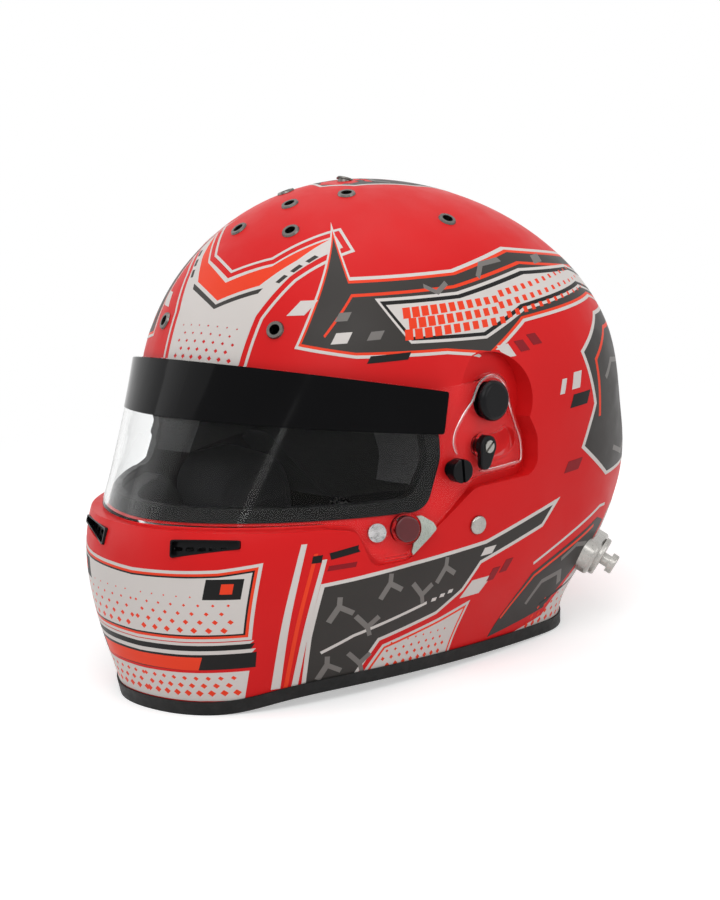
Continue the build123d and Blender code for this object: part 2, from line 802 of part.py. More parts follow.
# Pivot: nut inside the wall, bush through it, washer, and domed cap screw outside
for side, name in ((1, "left"), (-1, "right")):
    with BuildPart() as pivot_nut:
        with BuildSketch(Plane.YZ.offset(wall_inner_x)):
            with Locations((pivot_y, pivot_z)):
                RegularPolygon(pivot_nut_radius, 6)
        extrude(amount=-nut_thickness)
        with BuildSketch(Plane.YZ.offset(wall_inner_x)):
            with Locations((pivot_y, pivot_z)):
                Circle(pivot_bush_radius - 0.05)
        extrude(amount=pocket_floor_x - wall_inner_x)
        with BuildSketch(Plane.YZ.offset(wall_inner_x - nut_thickness - 1)):
            with Locations((pivot_y, pivot_z)):
                Circle(pivot_shank_radius)
        extrude(amount=through_cut, mode=Mode.SUBTRACT)
        if side < 0:
            mirror(about=Plane.YZ, mode=Mode.REPLACE)
    keep(pivot_nut.part, f"visor_pivot_nut_{name}")

    cap_seat_x = visor_half_width + face_gap
    with BuildPart() as pivot_screw:
        with BuildSketch(Plane.YZ.offset(cap_seat_x)):
            with Locations((pivot_y, pivot_z)):
                Circle(pivot_cap_radius)
        extrude(amount=pivot_cap_height)
        cap_top = pivot_screw.faces().sort_by(Axis.X)[-1]
        fillet(cap_top.edges(), pivot_cap_dome)
        with BuildSketch(Plane.YZ.offset(pocket_floor_x)):
            with Locations((pivot_y, pivot_z)):
                Circle(pivot_bush_radius)
        extrude(amount=cap_seat_x - pocket_floor_x)
        with BuildSketch(Plane.YZ.offset(wall_inner_x - nut_thickness)):
            with Locations((pivot_y, pivot_z)):
                Circle(pivot_shank_radius)
        extrude(amount=pocket_floor_x - wall_inner_x + nut_thickness)
        if side < 0:
            mirror(about=Plane.YZ, mode=Mode.REPLACE)
    keep(pivot_screw.part, f"visor_pivot_screw_{name}")

    with BuildPart() as pivot_washer:
        with BuildSketch(Plane.YZ.offset(pocket_floor_x)):
            with Locations((pivot_y, pivot_z)):
                Circle(pivot_cap_radius - 1)
                Circle(pivot_bush_radius + 0.2, mode=Mode.SUBTRACT)
        extrude(amount=visor_gap - face_gap)
        if side < 0:
            mirror(about=Plane.YZ, mode=Mode.REPLACE)
    keep(pivot_washer.part, f"visor_pivot_washer_{name}")

    # Guide cam: a hub in the visor's slot and a foot that holds the visor's face down
    cam_foot = cam_radius + cam_foot_reach
    foot_spot = (
        pivot_y + cam_foot * cos(radians(cam_angle)),
        pivot_z + cam_foot * sin(radians(cam_angle)),
    )
    cam_face_x = visor_half_width + slot_rim_height + face_gap
    with BuildPart() as guide_cam:
        with BuildSketch(Plane.YZ.offset(cam_face_x)):
            with Locations((cam_y, cam_z)):
                Circle(cam_hub_radius)
            with Locations(foot_spot):
                Circle(cam_foot_radius)
            make_hull()
        extrude(amount=cam_head_height)
        cam_top = guide_cam.faces().sort_by(Axis.X)[-1]
        fillet(cam_top.edges(), cam_top_round)
        with BuildSketch(Plane.YZ.offset(pocket_floor_x)):
            with Locations((cam_y, cam_z)):
                Circle(cam_hub_radius)
        extrude(amount=cam_face_x - pocket_floor_x)
        with BuildSketch(Plane.YZ.offset(cam_face_x + cam_head_height - cam_screw_sink)):
            with Locations((cam_y, cam_z)):
                Circle(cam_screw_radius + hole_gap)
        extrude(amount=cam_screw_sink + 1, mode=Mode.SUBTRACT)
        with BuildSketch(Plane.YZ.offset(pocket_floor_x)):
            with Locations((cam_y, cam_z)):
                Circle(cam_thread_radius + hole_gap)
        extrude(amount=through_cut, mode=Mode.SUBTRACT)
        if side < 0:
            mirror(about=Plane.YZ, mode=Mode.REPLACE)
    keep(guide_cam.part, f"guide_cam_{name}")

    with BuildPart() as guide_screw:
        head_x = cam_face_x + cam_head_height - cam_screw_sink
        with BuildSketch(Plane.YZ.offset(head_x)):
            with Locations((cam_y, cam_z)):
                Circle(cam_screw_radius)
        extrude(amount=cam_screw_sink + screw_head_rise)
        with BuildSketch(Plane.YZ.offset(head_x + cam_screw_sink + screw_head_rise - screw_slot_depth)):
            with Locations((cam_y, cam_z)):
                Rectangle(2 * cam_screw_radius, screw_slot_width, rotation=35)
        extrude(amount=2 * screw_slot_depth, mode=Mode.SUBTRACT)
        with BuildSketch(Plane.YZ.offset(wall_inner_x - nut_thickness)):
            with Locations((cam_y, cam_z)):
                Circle(cam_thread_radius)
        extrude(amount=head_x - wall_inner_x + nut_thickness)
        with BuildSketch(Plane.YZ.offset(wall_inner_x - nut_thickness)):
            with Locations((cam_y, cam_z)):
                Circle(cam_screw_radius)
        extrude(amount=nut_thickness)
        if side < 0:
            mirror(about=Plane.YZ, mode=Mode.REPLACE)
    keep(guide_screw.part, f"guide_screw_{name}")

    # Slotted tear-off post that turns in the visor
    with BuildPart() as tear_off_post:
        with BuildSketch(post_plane.offset(face_gap)):
            Circle(post_radius)
        extrude(amount=post_height)
        post_top = tear_off_post.faces().sort_by(Axis(post_plane.origin, post_plane.z_dir))[-1]
        fillet(post_top.edges(), post_top_round)
        with BuildSketch(post_plane.offset(face_gap + post_height - post_slot_depth)):
            Rectangle(3 * post_radius, post_slot_width, rotation=90)
        extrude(amount=post_slot_depth + 1, mode=Mode.SUBTRACT)
        with BuildSketch(post_plane.offset(-post_inner - post_foot_drop)):
            Circle(post_stem_radius)
        extrude(amount=post_inner + post_foot_drop + face_gap)
        with BuildSketch(post_plane.offset(-post_inner - post_foot_drop)):
            Circle(post_foot_radius)
        extrude(amount=-post_foot_height)
        if side < 0:
            mirror(about=Plane.YZ, mode=Mode.REPLACE)
    keep(tear_off_post.part, f"tear_off_post_{name}")

# Visor lock: button, spring, plate, steel disc and the magnet behind it
with BuildPart() as lock_button:
    with BuildSketch(button_plane.offset(button_travel + face_gap)):
        Circle(button_radius)
    extrude(amount=button_height)
    button_top = lock_button.faces().sort_by(Axis(button_plane.origin, button_plane.z_dir))[-1]
    fillet(button_top.edges(), button_top_round)
    with BuildSketch(button_plane.offset(-button_inner - face_gap)):
        Circle(button_stem_radius)
    extrude(amount=button_inner + button_travel + 3 * face_gap)
    with BuildSketch(button_plane.offset(-button_inner - face_gap)):
        Circle(button_foot_radius)
    extrude(amount=-button_foot_height)
keep(lock_button.part, "lock_button")

spring_side = Plane(
    origin=button_plane.origin,
    x_dir=button_plane.x_dir,
    z_dir=button_plane.x_dir.cross(button_plane.z_dir),
)
with BuildPart() as lock_spring:
    with BuildSketch(spring_side):
        with BuildLine():
            inner = button_stem_radius + spring_bore_gap
            outer = button_radius - spring_rim_gap
            low = spring_foot_gap
            high = button_travel + face_gap - seat_gap
            Polyline((outer, low), (inner, high - spring_sheet), (inner, high), (outer, low + spring_sheet), close=True)
        make_face()
    revolve(axis=Axis(button_plane.origin, button_plane.z_dir))
keep(lock_spring.part, "lock_spring_washer")

with BuildPart() as lock_plate:
    with BuildSketch(button_plane.offset(seat_gap)):
        with BuildLine():
            FilletPolyline(*lock_plate_outline, radius=lock_plate_radii, close=True)
        make_face()
        Circle(button_radius + hole_gap + button_ring_width + face_gap, mode=Mode.SUBTRACT)
    extrude(amount=lock_plate_thickness)
    add(visor_shield.part, mode=Mode.SUBTRACT)
keep(lock_plate.part, "lock_plate")

with BuildPart() as visor_disc:
    with BuildSketch(disc_plane.offset(-disc_inner)):
        Circle(disc_radius)
    extrude(amount=disc_thickness)
keep(visor_disc.part, "visor_steel_disc")

with BuildPart() as shell_magnet:
    with BuildSketch(disc_plane.offset(-magnet_floor - magnet_depth)):
        Circle(magnet_radius)
    extrude(amount=magnet_depth)
keep(shell_magnet.part, "shell_magnet")

# Chin strap: anchor plates and rivets on both sides, a ringed end and a long end
strap_inner = -shell_wall - strap_clearance
strap_back = strap_inner - strap_plate_thickness - strap_thickness
for side, name in ((1, "left"), (-1, "right")):
    with BuildPart() as strap_rivet:
        with BuildSketch(strap_seat.offset(seat_gap)):
            Circle(rivet_head_radius)
        extrude(amount=rivet_head_height)
        head_top = strap_rivet.faces().sort_by(Axis(strap_seat.origin, strap_seat.z_dir))[-1]
        fillet(head_top.edges(), rivet_head_round)
        with BuildSketch(strap_seat.offset(seat_gap)):
            Circle(rivet_shank_radius)
        extrude(amount=strap_back - rivet_tail_height)
        with BuildSketch(strap_seat.offset(strap_back - 2 * seat_gap)):
            Circle(rivet_tail_radius)
        extrude(amount=-rivet_tail_height)
        if side < 0:
            mirror(about=Plane.YZ, mode=Mode.REPLACE)
    keep(strap_rivet.part, f"strap_rivet_{name}")


def strap_wall(height, inset):
    """Distance from the rivet's seat, along the strap's plane, to the inset form at a height."""
    target = Vector(strap_seat.origin.X, strap_seat.origin.Y, height)
    spot = surface_point(target, target - strap_outwards * 110, inset)
    return (spot - target).dot(strap_outwards)


def strap_ribbon(points, radii):
    """A strap of the given route, as wide as its webbing."""
    with BuildPart() as ribbon:
        with BuildSketch(strap_plane):
            with BuildLine() as route:
                FilletPolyline(*points, radius=radii)
            trace(line_width=strap_thickness)
        extrude(amount=strap_width / 2, both=True)
    return ribbon.part


# The strap's own plane stands square to the wall beside the rivet
strap_outwards = Vector(strap_seat.z_dir.X, strap_seat.z_dir.Y, 0).normalized()
strap_foot = Vector(strap_seat.origin.X, strap_seat.origin.Y, 0)
strap_plane = Plane(origin=strap_foot, x_dir=strap_outwards, z_dir=strap_outwards.cross(Vector(0, 0, 1)))
strap_inset = shell_wall + strap_clearance + 0.56 * strap_thickness
wall_route = [(strap_wall(height, strap_inset), height) for height in strap_route_heights]
wall_route.append((strap_wall(strap_trim_height, strap_inset + trim_lip), strap_trim_height))
corner = (strap_wall(strap_low_z, strap_inset + trim_lip + strap_trim_clearance), strap_low_z)
loop_x = strap_turn_x - strap_foot.X
rivet_hole = cylinder_on(strap_seat, rivet_shank_radius + running_fit, -30, 6)
ring_places = [(loop_x, strap_low_z - ring_spacing / 2), (loop_x, strap_low_z + ring_spacing / 2)]
loop_radius = ring_bar_radius + running_fit + strap_thickness

# Left strap, whose stitched loop holds both rings
with BuildPart() as chin_strap_left:
    add(strap_ribbon([*wall_route, corner, (loop_x + loop_radius, strap_low_z)], strap_bends))
    with BuildSketch(strap_plane):
        with Locations((loop_x, strap_low_z)):
            SlotCenterToCenter(ring_spacing, 2 * loop_radius, rotation=90)
        with Locations(*ring_places):
            Circle(ring_bar_radius + running_fit, mode=Mode.SUBTRACT)
    extrude(amount=strap_width / 2, both=True)
    add(rivet_hole, mode=Mode.SUBTRACT)
keep(chin_strap_left.part, "chin_strap_left")

# Right strap, whose free end is folded back on itself
fold_x = strap_fold_x - strap_foot.X
fold_gap = snap_height + 0.4
free_end_x = corner[0] - strap_free_length
with BuildPart() as chin_strap_right:
    low_z = strap_low_z - strap_drop
    right_corner = (corner[0] - 0.6, low_z)
    upper = low_z + strap_thickness + fold_gap
    fold_points = [(fold_x, low_z), (fold_x, upper), (free_end_x, upper)]
    fold_radius = (strap_thickness + fold_gap) * 0.45
    add(strap_ribbon([*wall_route, right_corner, *fold_points], [*strap_bends, fold_radius, fold_radius]))
    add(rivet_hole, mode=Mode.SUBTRACT)
    mirror(about=Plane.YZ, mode=Mode.REPLACE)
keep(chin_strap_right.part, "chin_strap_right")

# Plates that spread the rivets' pull over the straps
for side, name in ((1, "left"), (-1, "right")):
    with BuildPart() as strap_anchor:
        with BuildSketch(strap_seat.offset(strap_inner - strap_thickness)):
            RectangleRounded(strap_plate_width, strap_plate_height, 4)
        extrude(amount=-strap_plate_thickness)
        add([chin_strap_left.part, rivet_hole], mode=Mode.SUBTRACT)
        if side < 0:
            mirror(about=Plane.YZ, mode=Mode.REPLACE)
    keep(strap_anchor.part, f"strap_anchor_{name}")

# Snap fastener between the folded layers of the right strap
snap_plane = Plane(
    origin=strap_plane.from_local_coords(Vector(free_end_x - snap_radius - 1.5, low_z + strap_thickness / 2, 0)),
    z_dir=(0, 0, 1),
)
with BuildPart() as strap_snap:
    with BuildSketch(snap_plane):
        Circle(snap_radius)
    extrude(amount=fold_gap)
    with BuildSketch(snap_plane.offset(fold_gap + strap_thickness)):
        Circle(snap_radius)
    extrude(amount=snap_cap_height)
    fillet(strap_snap.faces().sort_by(Axis.Z)[-1].edges(), snap_cap_round)
    with BuildSketch(snap_plane.offset(-strap_thickness)):
        Circle(snap_stud_radius)
    extrude(amount=-snap_stud_height)
    mirror(about=Plane.YZ, mode=Mode.REPLACE)
keep(Compound(strap_snap.part.solids()), "strap_snap")

# The two rings, their straight bars in the left strap's loop
for place, name in zip(ring_places, ("d_ring_lower", "d_ring_upper")):
    bar_spot = strap_plane.from_local_coords(Vector(place[0], place[1], 0))
    ring_plane = Plane(origin=bar_spot, x_dir=-strap_outwards, z_dir=(0, 0, 1))
    half = ring_width / 2
    with BuildPart() as d_ring:
        with BuildLine(ring_plane) as ring_path:
            bar = Line((0, -half + ring_corner), (0, half - ring_corner))
            near = TangentArc(bar @ 1, (ring_corner, half), tangent=bar % 1)
            arm = Line(near @ 1, (ring_reach - half, half))
            bow = ThreePointArc(arm @ 1, (ring_reach, 0), (ring_reach - half, -half))
            back = Line(bow @ 1, (ring_corner, -half))
            TangentArc(back @ 1, bar @ 0, tangent=back % 1)
        with BuildSketch(Plane(origin=bar_spot, z_dir=ring_plane.y_dir)):
            Circle(ring_bar_radius)
        sweep(path=ring_path.wire())
    keep(d_ring.part, name)

# Head restraint anchors: base plate, post and the insert inside the wall
for side, name in ((1, "left"), (-1, "right")):
    with BuildPart() as anchor_plate:
        with BuildSketch(anchor_seat.offset(-anchor_plate_sink)):
            RectangleRounded(anchor_plate_length, anchor_plate_width, anchor_plate_corner)
        extrude(amount=anchor_plate_sink + anchor_plate_height)
        plate_top = anchor_plate.faces().sort_by(Axis(anchor_seat.origin, anchor_seat.z_dir))[-1]
        fillet(plate_top.edges(), anchor_plate_round)
        add(form_solid(-seat_gap), mode=Mode.SUBTRACT)
        add(cylinder_on(anchor_seat, anchor_screw_radius + hole_gap, -20, 20), mode=Mode.SUBTRACT)
        if side < 0:
            mirror(about=Plane.YZ, mode=Mode.REPLACE)
    keep(anchor_plate.part, f"anchor_plate_{name}")

    with BuildPart() as anchor_post:
        with BuildSketch(anchor_seat.offset(anchor_plate_height)):
            Circle(anchor_disc_radius)
        extrude(amount=anchor_disc_height)
        disc_top = anchor_post.faces().sort_by(Axis(anchor_seat.origin, anchor_seat.z_dir))[-1]
        fillet(disc_top.edges(), anchor_disc_round)
        with BuildSketch(anchor_seat.offset(anchor_plate_height + anchor_disc_height - 0.5)):
            Circle(anchor_neck_radius)
        extrude(amount=anchor_neck_length + 0.5)
        with BuildSketch(anchor_seat.offset(anchor_plate_height + anchor_disc_height + anchor_neck_length)):
            Circle(anchor_head_radius)
        extrude(amount=anchor_head_height)
        head_top = anchor_post.faces().sort_by(Axis(anchor_seat.origin, anchor_seat.z_dir))[-1]
        fillet(head_top.edges(), anchor_head_round)
        with BuildSketch(anchor_seat.offset(anchor_plate_height)):
            Circle(anchor_screw_radius)
        extrude(amount=-anchor_plate_height - shell_wall - nut_thickness)
        if side < 0:
            mirror(about=Plane.YZ, mode=Mode.REPLACE)
    keep(anchor_post.part, f"anchor_post_{name}")

    with BuildPart() as anchor_nut:
        with BuildSketch(anchor_seat.offset(-shell_wall - anchor_nut_gap)):
            Circle(anchor_nut_radius)
            Circle(anchor_screw_radius + running_fit, mode=Mode.SUBTRACT)
        extrude(amount=-nut_thickness)
        if side < 0:
            mirror(about=Plane.YZ, mode=Mode.REPLACE)
    keep(anchor_nut.part, f"anchor_nut_{name}")
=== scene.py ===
import math

import bmesh
import bpy
import numpy as np
from mathutils import Matrix, Vector
from mathutils.bvhtree import BVHTree
from mathutils.geometry import delaunay_2d_cdt


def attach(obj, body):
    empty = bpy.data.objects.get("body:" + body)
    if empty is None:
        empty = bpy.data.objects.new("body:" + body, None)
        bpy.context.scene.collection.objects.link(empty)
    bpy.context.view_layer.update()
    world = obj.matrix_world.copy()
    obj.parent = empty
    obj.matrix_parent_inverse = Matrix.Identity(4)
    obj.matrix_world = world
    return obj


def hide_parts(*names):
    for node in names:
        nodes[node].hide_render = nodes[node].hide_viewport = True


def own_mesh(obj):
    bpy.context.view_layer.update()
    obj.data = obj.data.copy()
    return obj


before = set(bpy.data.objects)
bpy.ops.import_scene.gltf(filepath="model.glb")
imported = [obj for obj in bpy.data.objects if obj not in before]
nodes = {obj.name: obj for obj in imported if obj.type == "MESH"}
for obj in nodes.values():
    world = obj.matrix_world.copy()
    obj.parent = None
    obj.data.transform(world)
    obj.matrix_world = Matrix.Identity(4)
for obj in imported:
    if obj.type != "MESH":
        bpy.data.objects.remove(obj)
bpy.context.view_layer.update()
MM = 0.001

# The shell's outer form, in millimetres: the same levels that the solid is lofted through
SHELL_HEIGHT = 263.5
DOME_START = 145.0
CROWN_Y = 13.5
WIDEST_Y = 48.0
HALF_WIDTHS = [(0, 92), (25, 102), (55, 117), (90, 124.5), (DOME_START, 129.5)]
FRONT_REACHES = [(0, 158), (36, 163.5), (71, 164), (101, 156), (DOME_START, 110.6)]
REAR_REACHES = [(0, 106), (22, 111.5), (51, 139.5), (90, 164), (DOME_START, 157)]
SIDE_ROUND = 1.92
FRONT_ROUND = 1.89
REAR_ROUND = 1.92
JAW_FULLNESS = 2.42
BROW_FULLNESS = 2.2
NAPE_FULLNESS = 2.26
JAW_HEIGHT = 60.0
BROW_HEIGHT = 150.0


def between(knots, place):
    """Smooth values at an array of places between knots of (place, value)."""
    at = np.array([k[0] for k in knots], float)
    values = np.array([k[1] for k in knots], float)
    slopes = np.empty(len(at))
    slopes[1:-1] = (values[2:] - values[:-2]) / (at[2:] - at[:-2])
    slopes[0] = (values[1] - values[0]) / (at[1] - at[0])
    slopes[-1] = 0.0
    place = np.clip(place, at[0], at[-1])
    i = np.clip(np.searchsorted(at, place, side="right") - 1, 0, len(at) - 2)
    span = at[i + 1] - at[i]
    t = (place - at[i]) / span
    ends = values[i] * (1 + 2 * t) * (1 - t) ** 2 + values[i + 1] * t * t * (3 - 2 * t)
    return ends + span * t * (1 - t) * (slopes[i] * (1 - t) - slopes[i + 1] * t)


def outside(points):
    """Over 1 outside the shell's outer form, under 1 inside it, for an array of points in millimetres."""
    x, y, z = points.T
    t = np.clip((z - DOME_START) / (SHELL_HEIGHT - DOME_START), 0, 0.99999)
    half = between(HALF_WIDTHS, z) * (1 - t**SIDE_ROUND) ** (1 / SIDE_ROUND)
    front = (between(FRONT_REACHES, z) + CROWN_Y) * (1 - t**FRONT_ROUND) ** (1 / FRONT_ROUND) - CROWN_Y
    rear = (between(REAR_REACHES, z) - CROWN_Y) * (1 - t**REAR_ROUND) ** (1 / REAR_ROUND) + CROWN_Y
    mid = WIDEST_Y * (1 - t * t) + CROWN_Y * t * t
    blend = np.clip((z - JAW_HEIGHT) / (BROW_HEIGHT - JAW_HEIGHT), 0, 1)
    ahead = y < mid
    power = np.where(ahead, JAW_FULLNESS * (1 - blend) + BROW_FULLNESS * blend, NAPE_FULLNESS)
    reach = np.where(ahead, front + mid, rear - mid)
    return (np.abs(x) / half) ** power + (np.abs(y - mid) / reach) ** power


def form_slope(points, step=0.4):
    """Gradient of the form function at an array of points."""
    slope = np.empty_like(points)
    for axis in range(3):
        way = np.zeros(3)
        way[axis] = step
        slope[:, axis] = (outside(points + way) - outside(points - way)) / (2 * step)
    return slope


# Small helpers for objects and meshes
def linked(name, data, *materials):
    """Add an object to the scene, with its materials."""
    for material in materials:
        data.materials.append(material)
    made = bpy.data.objects.new(name, data)
    bpy.context.scene.collection.objects.link(made)
    return made


def mesh_of(name, points, faces, smooth=lambda face: True):
    """A mesh that is smooth, or whose faces are smooth where a test says so."""
    mesh = bpy.data.meshes.new(name)
    mesh.from_pydata([tuple(p) for p in points], [], faces)
    mesh.polygons.foreach_set("use_smooth", [smooth(face) for face in mesh.polygons])
    return mesh


def tree_of(mesh):
    return BVHTree.FromPolygons([v.co for v in mesh.vertices], [tuple(p.vertices) for p in mesh.polygons])


def tube_faces(rings, count, first=0):
    """Faces between rings of count points, and a cap at each end."""
    faces = []
    for start in range(first, first + (rings - 1) * count, count):
        for k in range(count):
            a, b = start + k, start + (k + 1) % count
            faces.append((a, b, b + count, a + count))
    last = first + (rings - 1) * count
    return faces + [tuple(range(first, first + count))[::-1], tuple(range(last, last + count))]


# Small helpers for node materials
def new_material(name):
    material = bpy.data.materials.new(name)
    material.use_nodes = True
    tree = material.node_tree
    shader = tree.nodes["Principled BSDF"]
    return material, tree, shader


def node(tree, kind, inputs=(), **values):
    made = tree.nodes.new(kind)
    for key, value in values.items():
        setattr(made, key, value)
    for key, value in inputs:
        if isinstance(value, bpy.types.NodeSocket):
            tree.links.new(value, made.inputs[key])
        else:
            made.inputs[key].default_value = value
    return made


def place_of(tree, scale=(1, 1, 1), turn=(0, 0, 0)):
    """Object coordinates, scaled and turned."""
    where = node(tree, "ShaderNodeTexCoord")
    return node(
        tree, "ShaderNodeMapping",
        [("Vector", where.outputs["Object"]), ("Scale", scale), ("Rotation", turn)],
    ).outputs["Vector"]


OF_VECTORS = "ShaderNodeVectorMath"


def sums(tree, operation, *values, kind="ShaderNodeMath"):
    """A maths node on one or two values."""
    return node(tree, kind, enumerate(values), operation=operation).outputs


def noise(tree, place, scale, detail=3.0, rough=0.55):
    made = node(tree, "ShaderNodeTexNoise", [
        ("Vector", place), ("Scale", scale), ("Detail", detail), ("Roughness", rough),
    ])
    return made.outputs["Fac"]


def spread(tree, value, low, high, start=0.35, end=0.65):
    """A value mapped from one range to another."""
    made = node(tree, "ShaderNodeMapRange", [
        ("Value", value), ("From Min", start), ("From Max", end), ("To Min", low), ("To Max", high),
    ])
    return made.outputs["Result"]


def tint(tree, factor, first, second):
    made = node(tree, "ShaderNodeMix", [(0, factor)], data_type="RGBA")
    made.inputs[6].default_value = (*first, 1)
    made.inputs[7].default_value = (*second, 1)
    return made.outputs[2]


def bump(tree, shader, height, strength, distance):
    inputs = [("Height", height), ("Strength", strength), ("Distance", distance)]
    made = node(tree, "ShaderNodeBump", inputs)
    tree.links.new(made.outputs["Normal"], shader.inputs["Normal"])
    return made


def linear(red, green, blue):
    """A colour given as on screen, from 0 to 255, in the renderer's own scale."""
    shares = (red / 255, green / 255, blue / 255)
    return tuple(((c + 0.055) / 1.055) ** 2.4 if c > 0.04045 else c / 12.92 for c in shares)


def scaled(colour, share):
    return tuple(c * share for c in colour)


SHELL_RED = linear(214, 27, 29)
INNER_FACE = (0.012, 0.012, 0.013)
HELMET_MIDDLE = (0, 0, 110 * MM)
PAINTS = {
    "white": linear(214, 208, 204),
    "charcoal": linear(58, 55, 53),
    "grey": linear(122, 118, 115),
    "orange": linear(238, 66, 36),
    "black": linear(24, 23, 23),
    "dark_red": linear(138, 24, 32),
}


def surface(name, colour, shades, mottle, rough, relief, gloss=0.5, stretch=(1, 1, 1)):
    """A material with mottled colour, uneven roughness and a fine relief.

    Shades are shares of the colour. Mottle, rough and relief each start with a noise as (scale, detail,
    roughness). Then come the span of the mottle that counts, the least and most roughness, and the
    relief's strength and depth.
    """
    material, tree, shader = new_material(name)
    fine_place = place_of(tree, stretch)
    share = spread(tree, noise(tree, place_of(tree), *mottle[0]), 0, 1, *mottle[1:])
    colours = [scaled(colour, shade) for shade in shades]
    tree.links.new(tint(tree, share, *colours), shader.inputs["Base Color"])
    unevenness = spread(tree, noise(tree, fine_place, *rough[0]), *rough[1:])
    tree.links.new(unevenness, shader.inputs["Roughness"])
    shader.inputs["Specular IOR Level"].default_value = gloss
    bump(tree, shader, noise(tree, fine_place, *relief[0]), *relief[1:])
    return material, tree, shader


def paint(name, colour):
    """Satin paint over a composite shell, with faint mottling and orange peel."""
    mottle, rough, relief = ((9,), 0.3, 0.7), ((60, 4), 0.38, 0.48), ((900, 2), 0.05, 0.0002)
    return surface("paint_" + name, colour, (0.95, 1.04), mottle, rough, relief, 0.15)


def shell_paint():
    """Red paint outside and a bare dark laminate on the faces that look inwards."""
    material, tree, shader = paint("shell", SHELL_RED)
    where = node(tree, "ShaderNodeTexCoord")
    outward = sums(tree, "SUBTRACT", where.outputs["Object"], HELMET_MIDDLE, kind=OF_VECTORS)[0]
    way = sums(tree, "NORMALIZE", outward, kind=OF_VECTORS)[0]
    facing = sums(tree, "DOT_PRODUCT", way, where.outputs["Normal"], kind=OF_VECTORS)["Value"]
    outside_face = spread(tree, facing, 0, 1, -0.5, -0.4)
    painted = shader.inputs["Base Color"].links[0].from_socket
    made = node(tree, "ShaderNodeMix", [(0, outside_face), (7, painted)], data_type="RGBA")
    made.inputs[6].default_value = (*INNER_FACE, 1)
    tree.links.new(made.outputs[2], shader.inputs["Base Color"])
    return material


def metal(name, colour, rough, grain=700, stretch=(1, 1, 1)):
    """Bare or plated metal with fine grain and handling marks."""
    unevenness, relief = ((grain, 3), rough * 0.75, rough * 1.3), ((grain, 3), 0.08, 0.0001)
    material, _, shader = surface(name, colour, (0.8, 1), ((90, 4),), unevenness, relief, 0.5, stretch)
    shader.inputs["Metallic"].default_value = 1.0
    return material


def plastic(name, colour, rough, grain=1400, depth=0.1, gloss=0.25):
    """Moulded plastic with a fine texture."""
    unevenness, relief = ((250, 3), rough * 0.85, rough * 1.2), ((grain, 2), depth, 0.0002)
    return surface(name, colour, (0.85, 1.1), ((45, 4),), unevenness, relief, gloss)[0]


def rubber(name, colour):
    """Matt extruded rubber with a little dust."""
    dust, unevenness, relief = ((130, 5, 0.7), 0.45, 0.75), ((300, 3), 0.45, 0.6), ((1200, 2), 0.15, 0.0002)
    return surface(name, colour, (1, 1.7), dust, unevenness, relief, 0.15)[0]


def film(name, colour):
    """Gloss film with the faint ripple of a sticker on a curved sheet."""
    unevenness, relief = ((40, 4), 0.05, 0.1), ((60, 2), 0.04, 0.0003)
    return surface(name, colour, (0.9, 1.1), ((20, 3),), unevenness, relief, 0.05)[0]


def bead_foam(name, colour):
    """Expanded foam, its pressed beads about 3 mm across, with painted shade in the grooves between them.
    """
    material, tree, shader = new_material(name)
    inputs = [("Vector", place_of(tree)), ("Scale", 330.0)]
    beads = node(tree, "ShaderNodeTexVoronoi", inputs, feature="DISTANCE_TO_EDGE")
    edge = spread(tree, beads.outputs["Distance"], 0, 1, 0.0, 0.12)
    # The grooves between the beads are painted darker: painted shade in the grooves, on top of the bump.
    tree.links.new(tint(tree, edge, scaled(colour, 0.45), colour), shader.inputs["Base Color"])
    shader.inputs["Roughness"].default_value = 0.85
    bump(tree, shader, edge, 0.5, 0.0004)
    return material


def knit(name, colour, pitch, sheen):
    """Brushed knit cloth with rows of fine loops."""
    material, tree, shader = new_material(name)
    place = place_of(tree)
    rows = []
    for turn in ((0, 0, 0.785), (0, 0.785, -0.785)):
        turned = place_of(tree, (1, 1, 1), turn)
        wave = node(tree, "ShaderNodeTexWave", [
            ("Vector", turned), ("Scale", 1 / (pitch * MM * math.pi)), ("Distortion", 0.6), ("Detail", 1.0),
        ])
        rows.append(wave.outputs["Fac"])
    weave = sums(tree, "MULTIPLY", *rows)[0]
    fuzz = noise(tree, place, 260, 5, 0.7)
    both = sums(tree, "ADD", weave, fuzz)[0]
    shade = spread(tree, both, 0, 1, 0.3, 1.3)
    shaded = tint(tree, shade, scaled(colour, 0.55), scaled(colour, 1.35))
    tree.links.new(shaded, shader.inputs["Base Color"])
    shader.inputs["Roughness"].default_value = 0.92
    shader.inputs["Sheen Weight"].default_value = sheen
    shader.inputs["Sheen Roughness"].default_value = 0.5
    bump(tree, shader, both, 0.35, 0.0005)
    return material


def webbing(name, colour):
    """Woven strap: warp yarns about 1 mm wide that lean to each side of the middle."""
    material, tree, shader = new_material(name)
    where = node(tree, "ShaderNodeUVMap", uv_map="weave")
    parts = node(tree, "ShaderNodeSeparateXYZ", [("Vector", where.outputs["UV"])])
    off_middle = sums(tree, "ABSOLUTE", parts.outputs["X"])[0]
    leaning = sums(tree, "ADD", off_middle, parts.outputs["Y"])[0]
    waves = []
    for value, pitch in ((leaning, 1.7), (parts.outputs["X"], 1.2)):
        turned = sums(tree, "MULTIPLY", value, 2 * math.pi / (pitch * MM))[0]
        waves.append(sums(tree, "SINE", turned)[0])
    both = sums(tree, "ADD", *waves)[0]
    shade = spread(tree, both, 0, 1, -1.6, 1.8)
    tree.links.new(tint(tree, shade, scaled(colour, 0.5), scaled(colour, 1.6)), shader.inputs["Base Color"])
    shader.inputs["Roughness"].default_value = 0.7
    shader.inputs["Sheen Weight"].default_value = 0.2
    bump(tree, shader, both, 0.6, 0.0004)
    return material


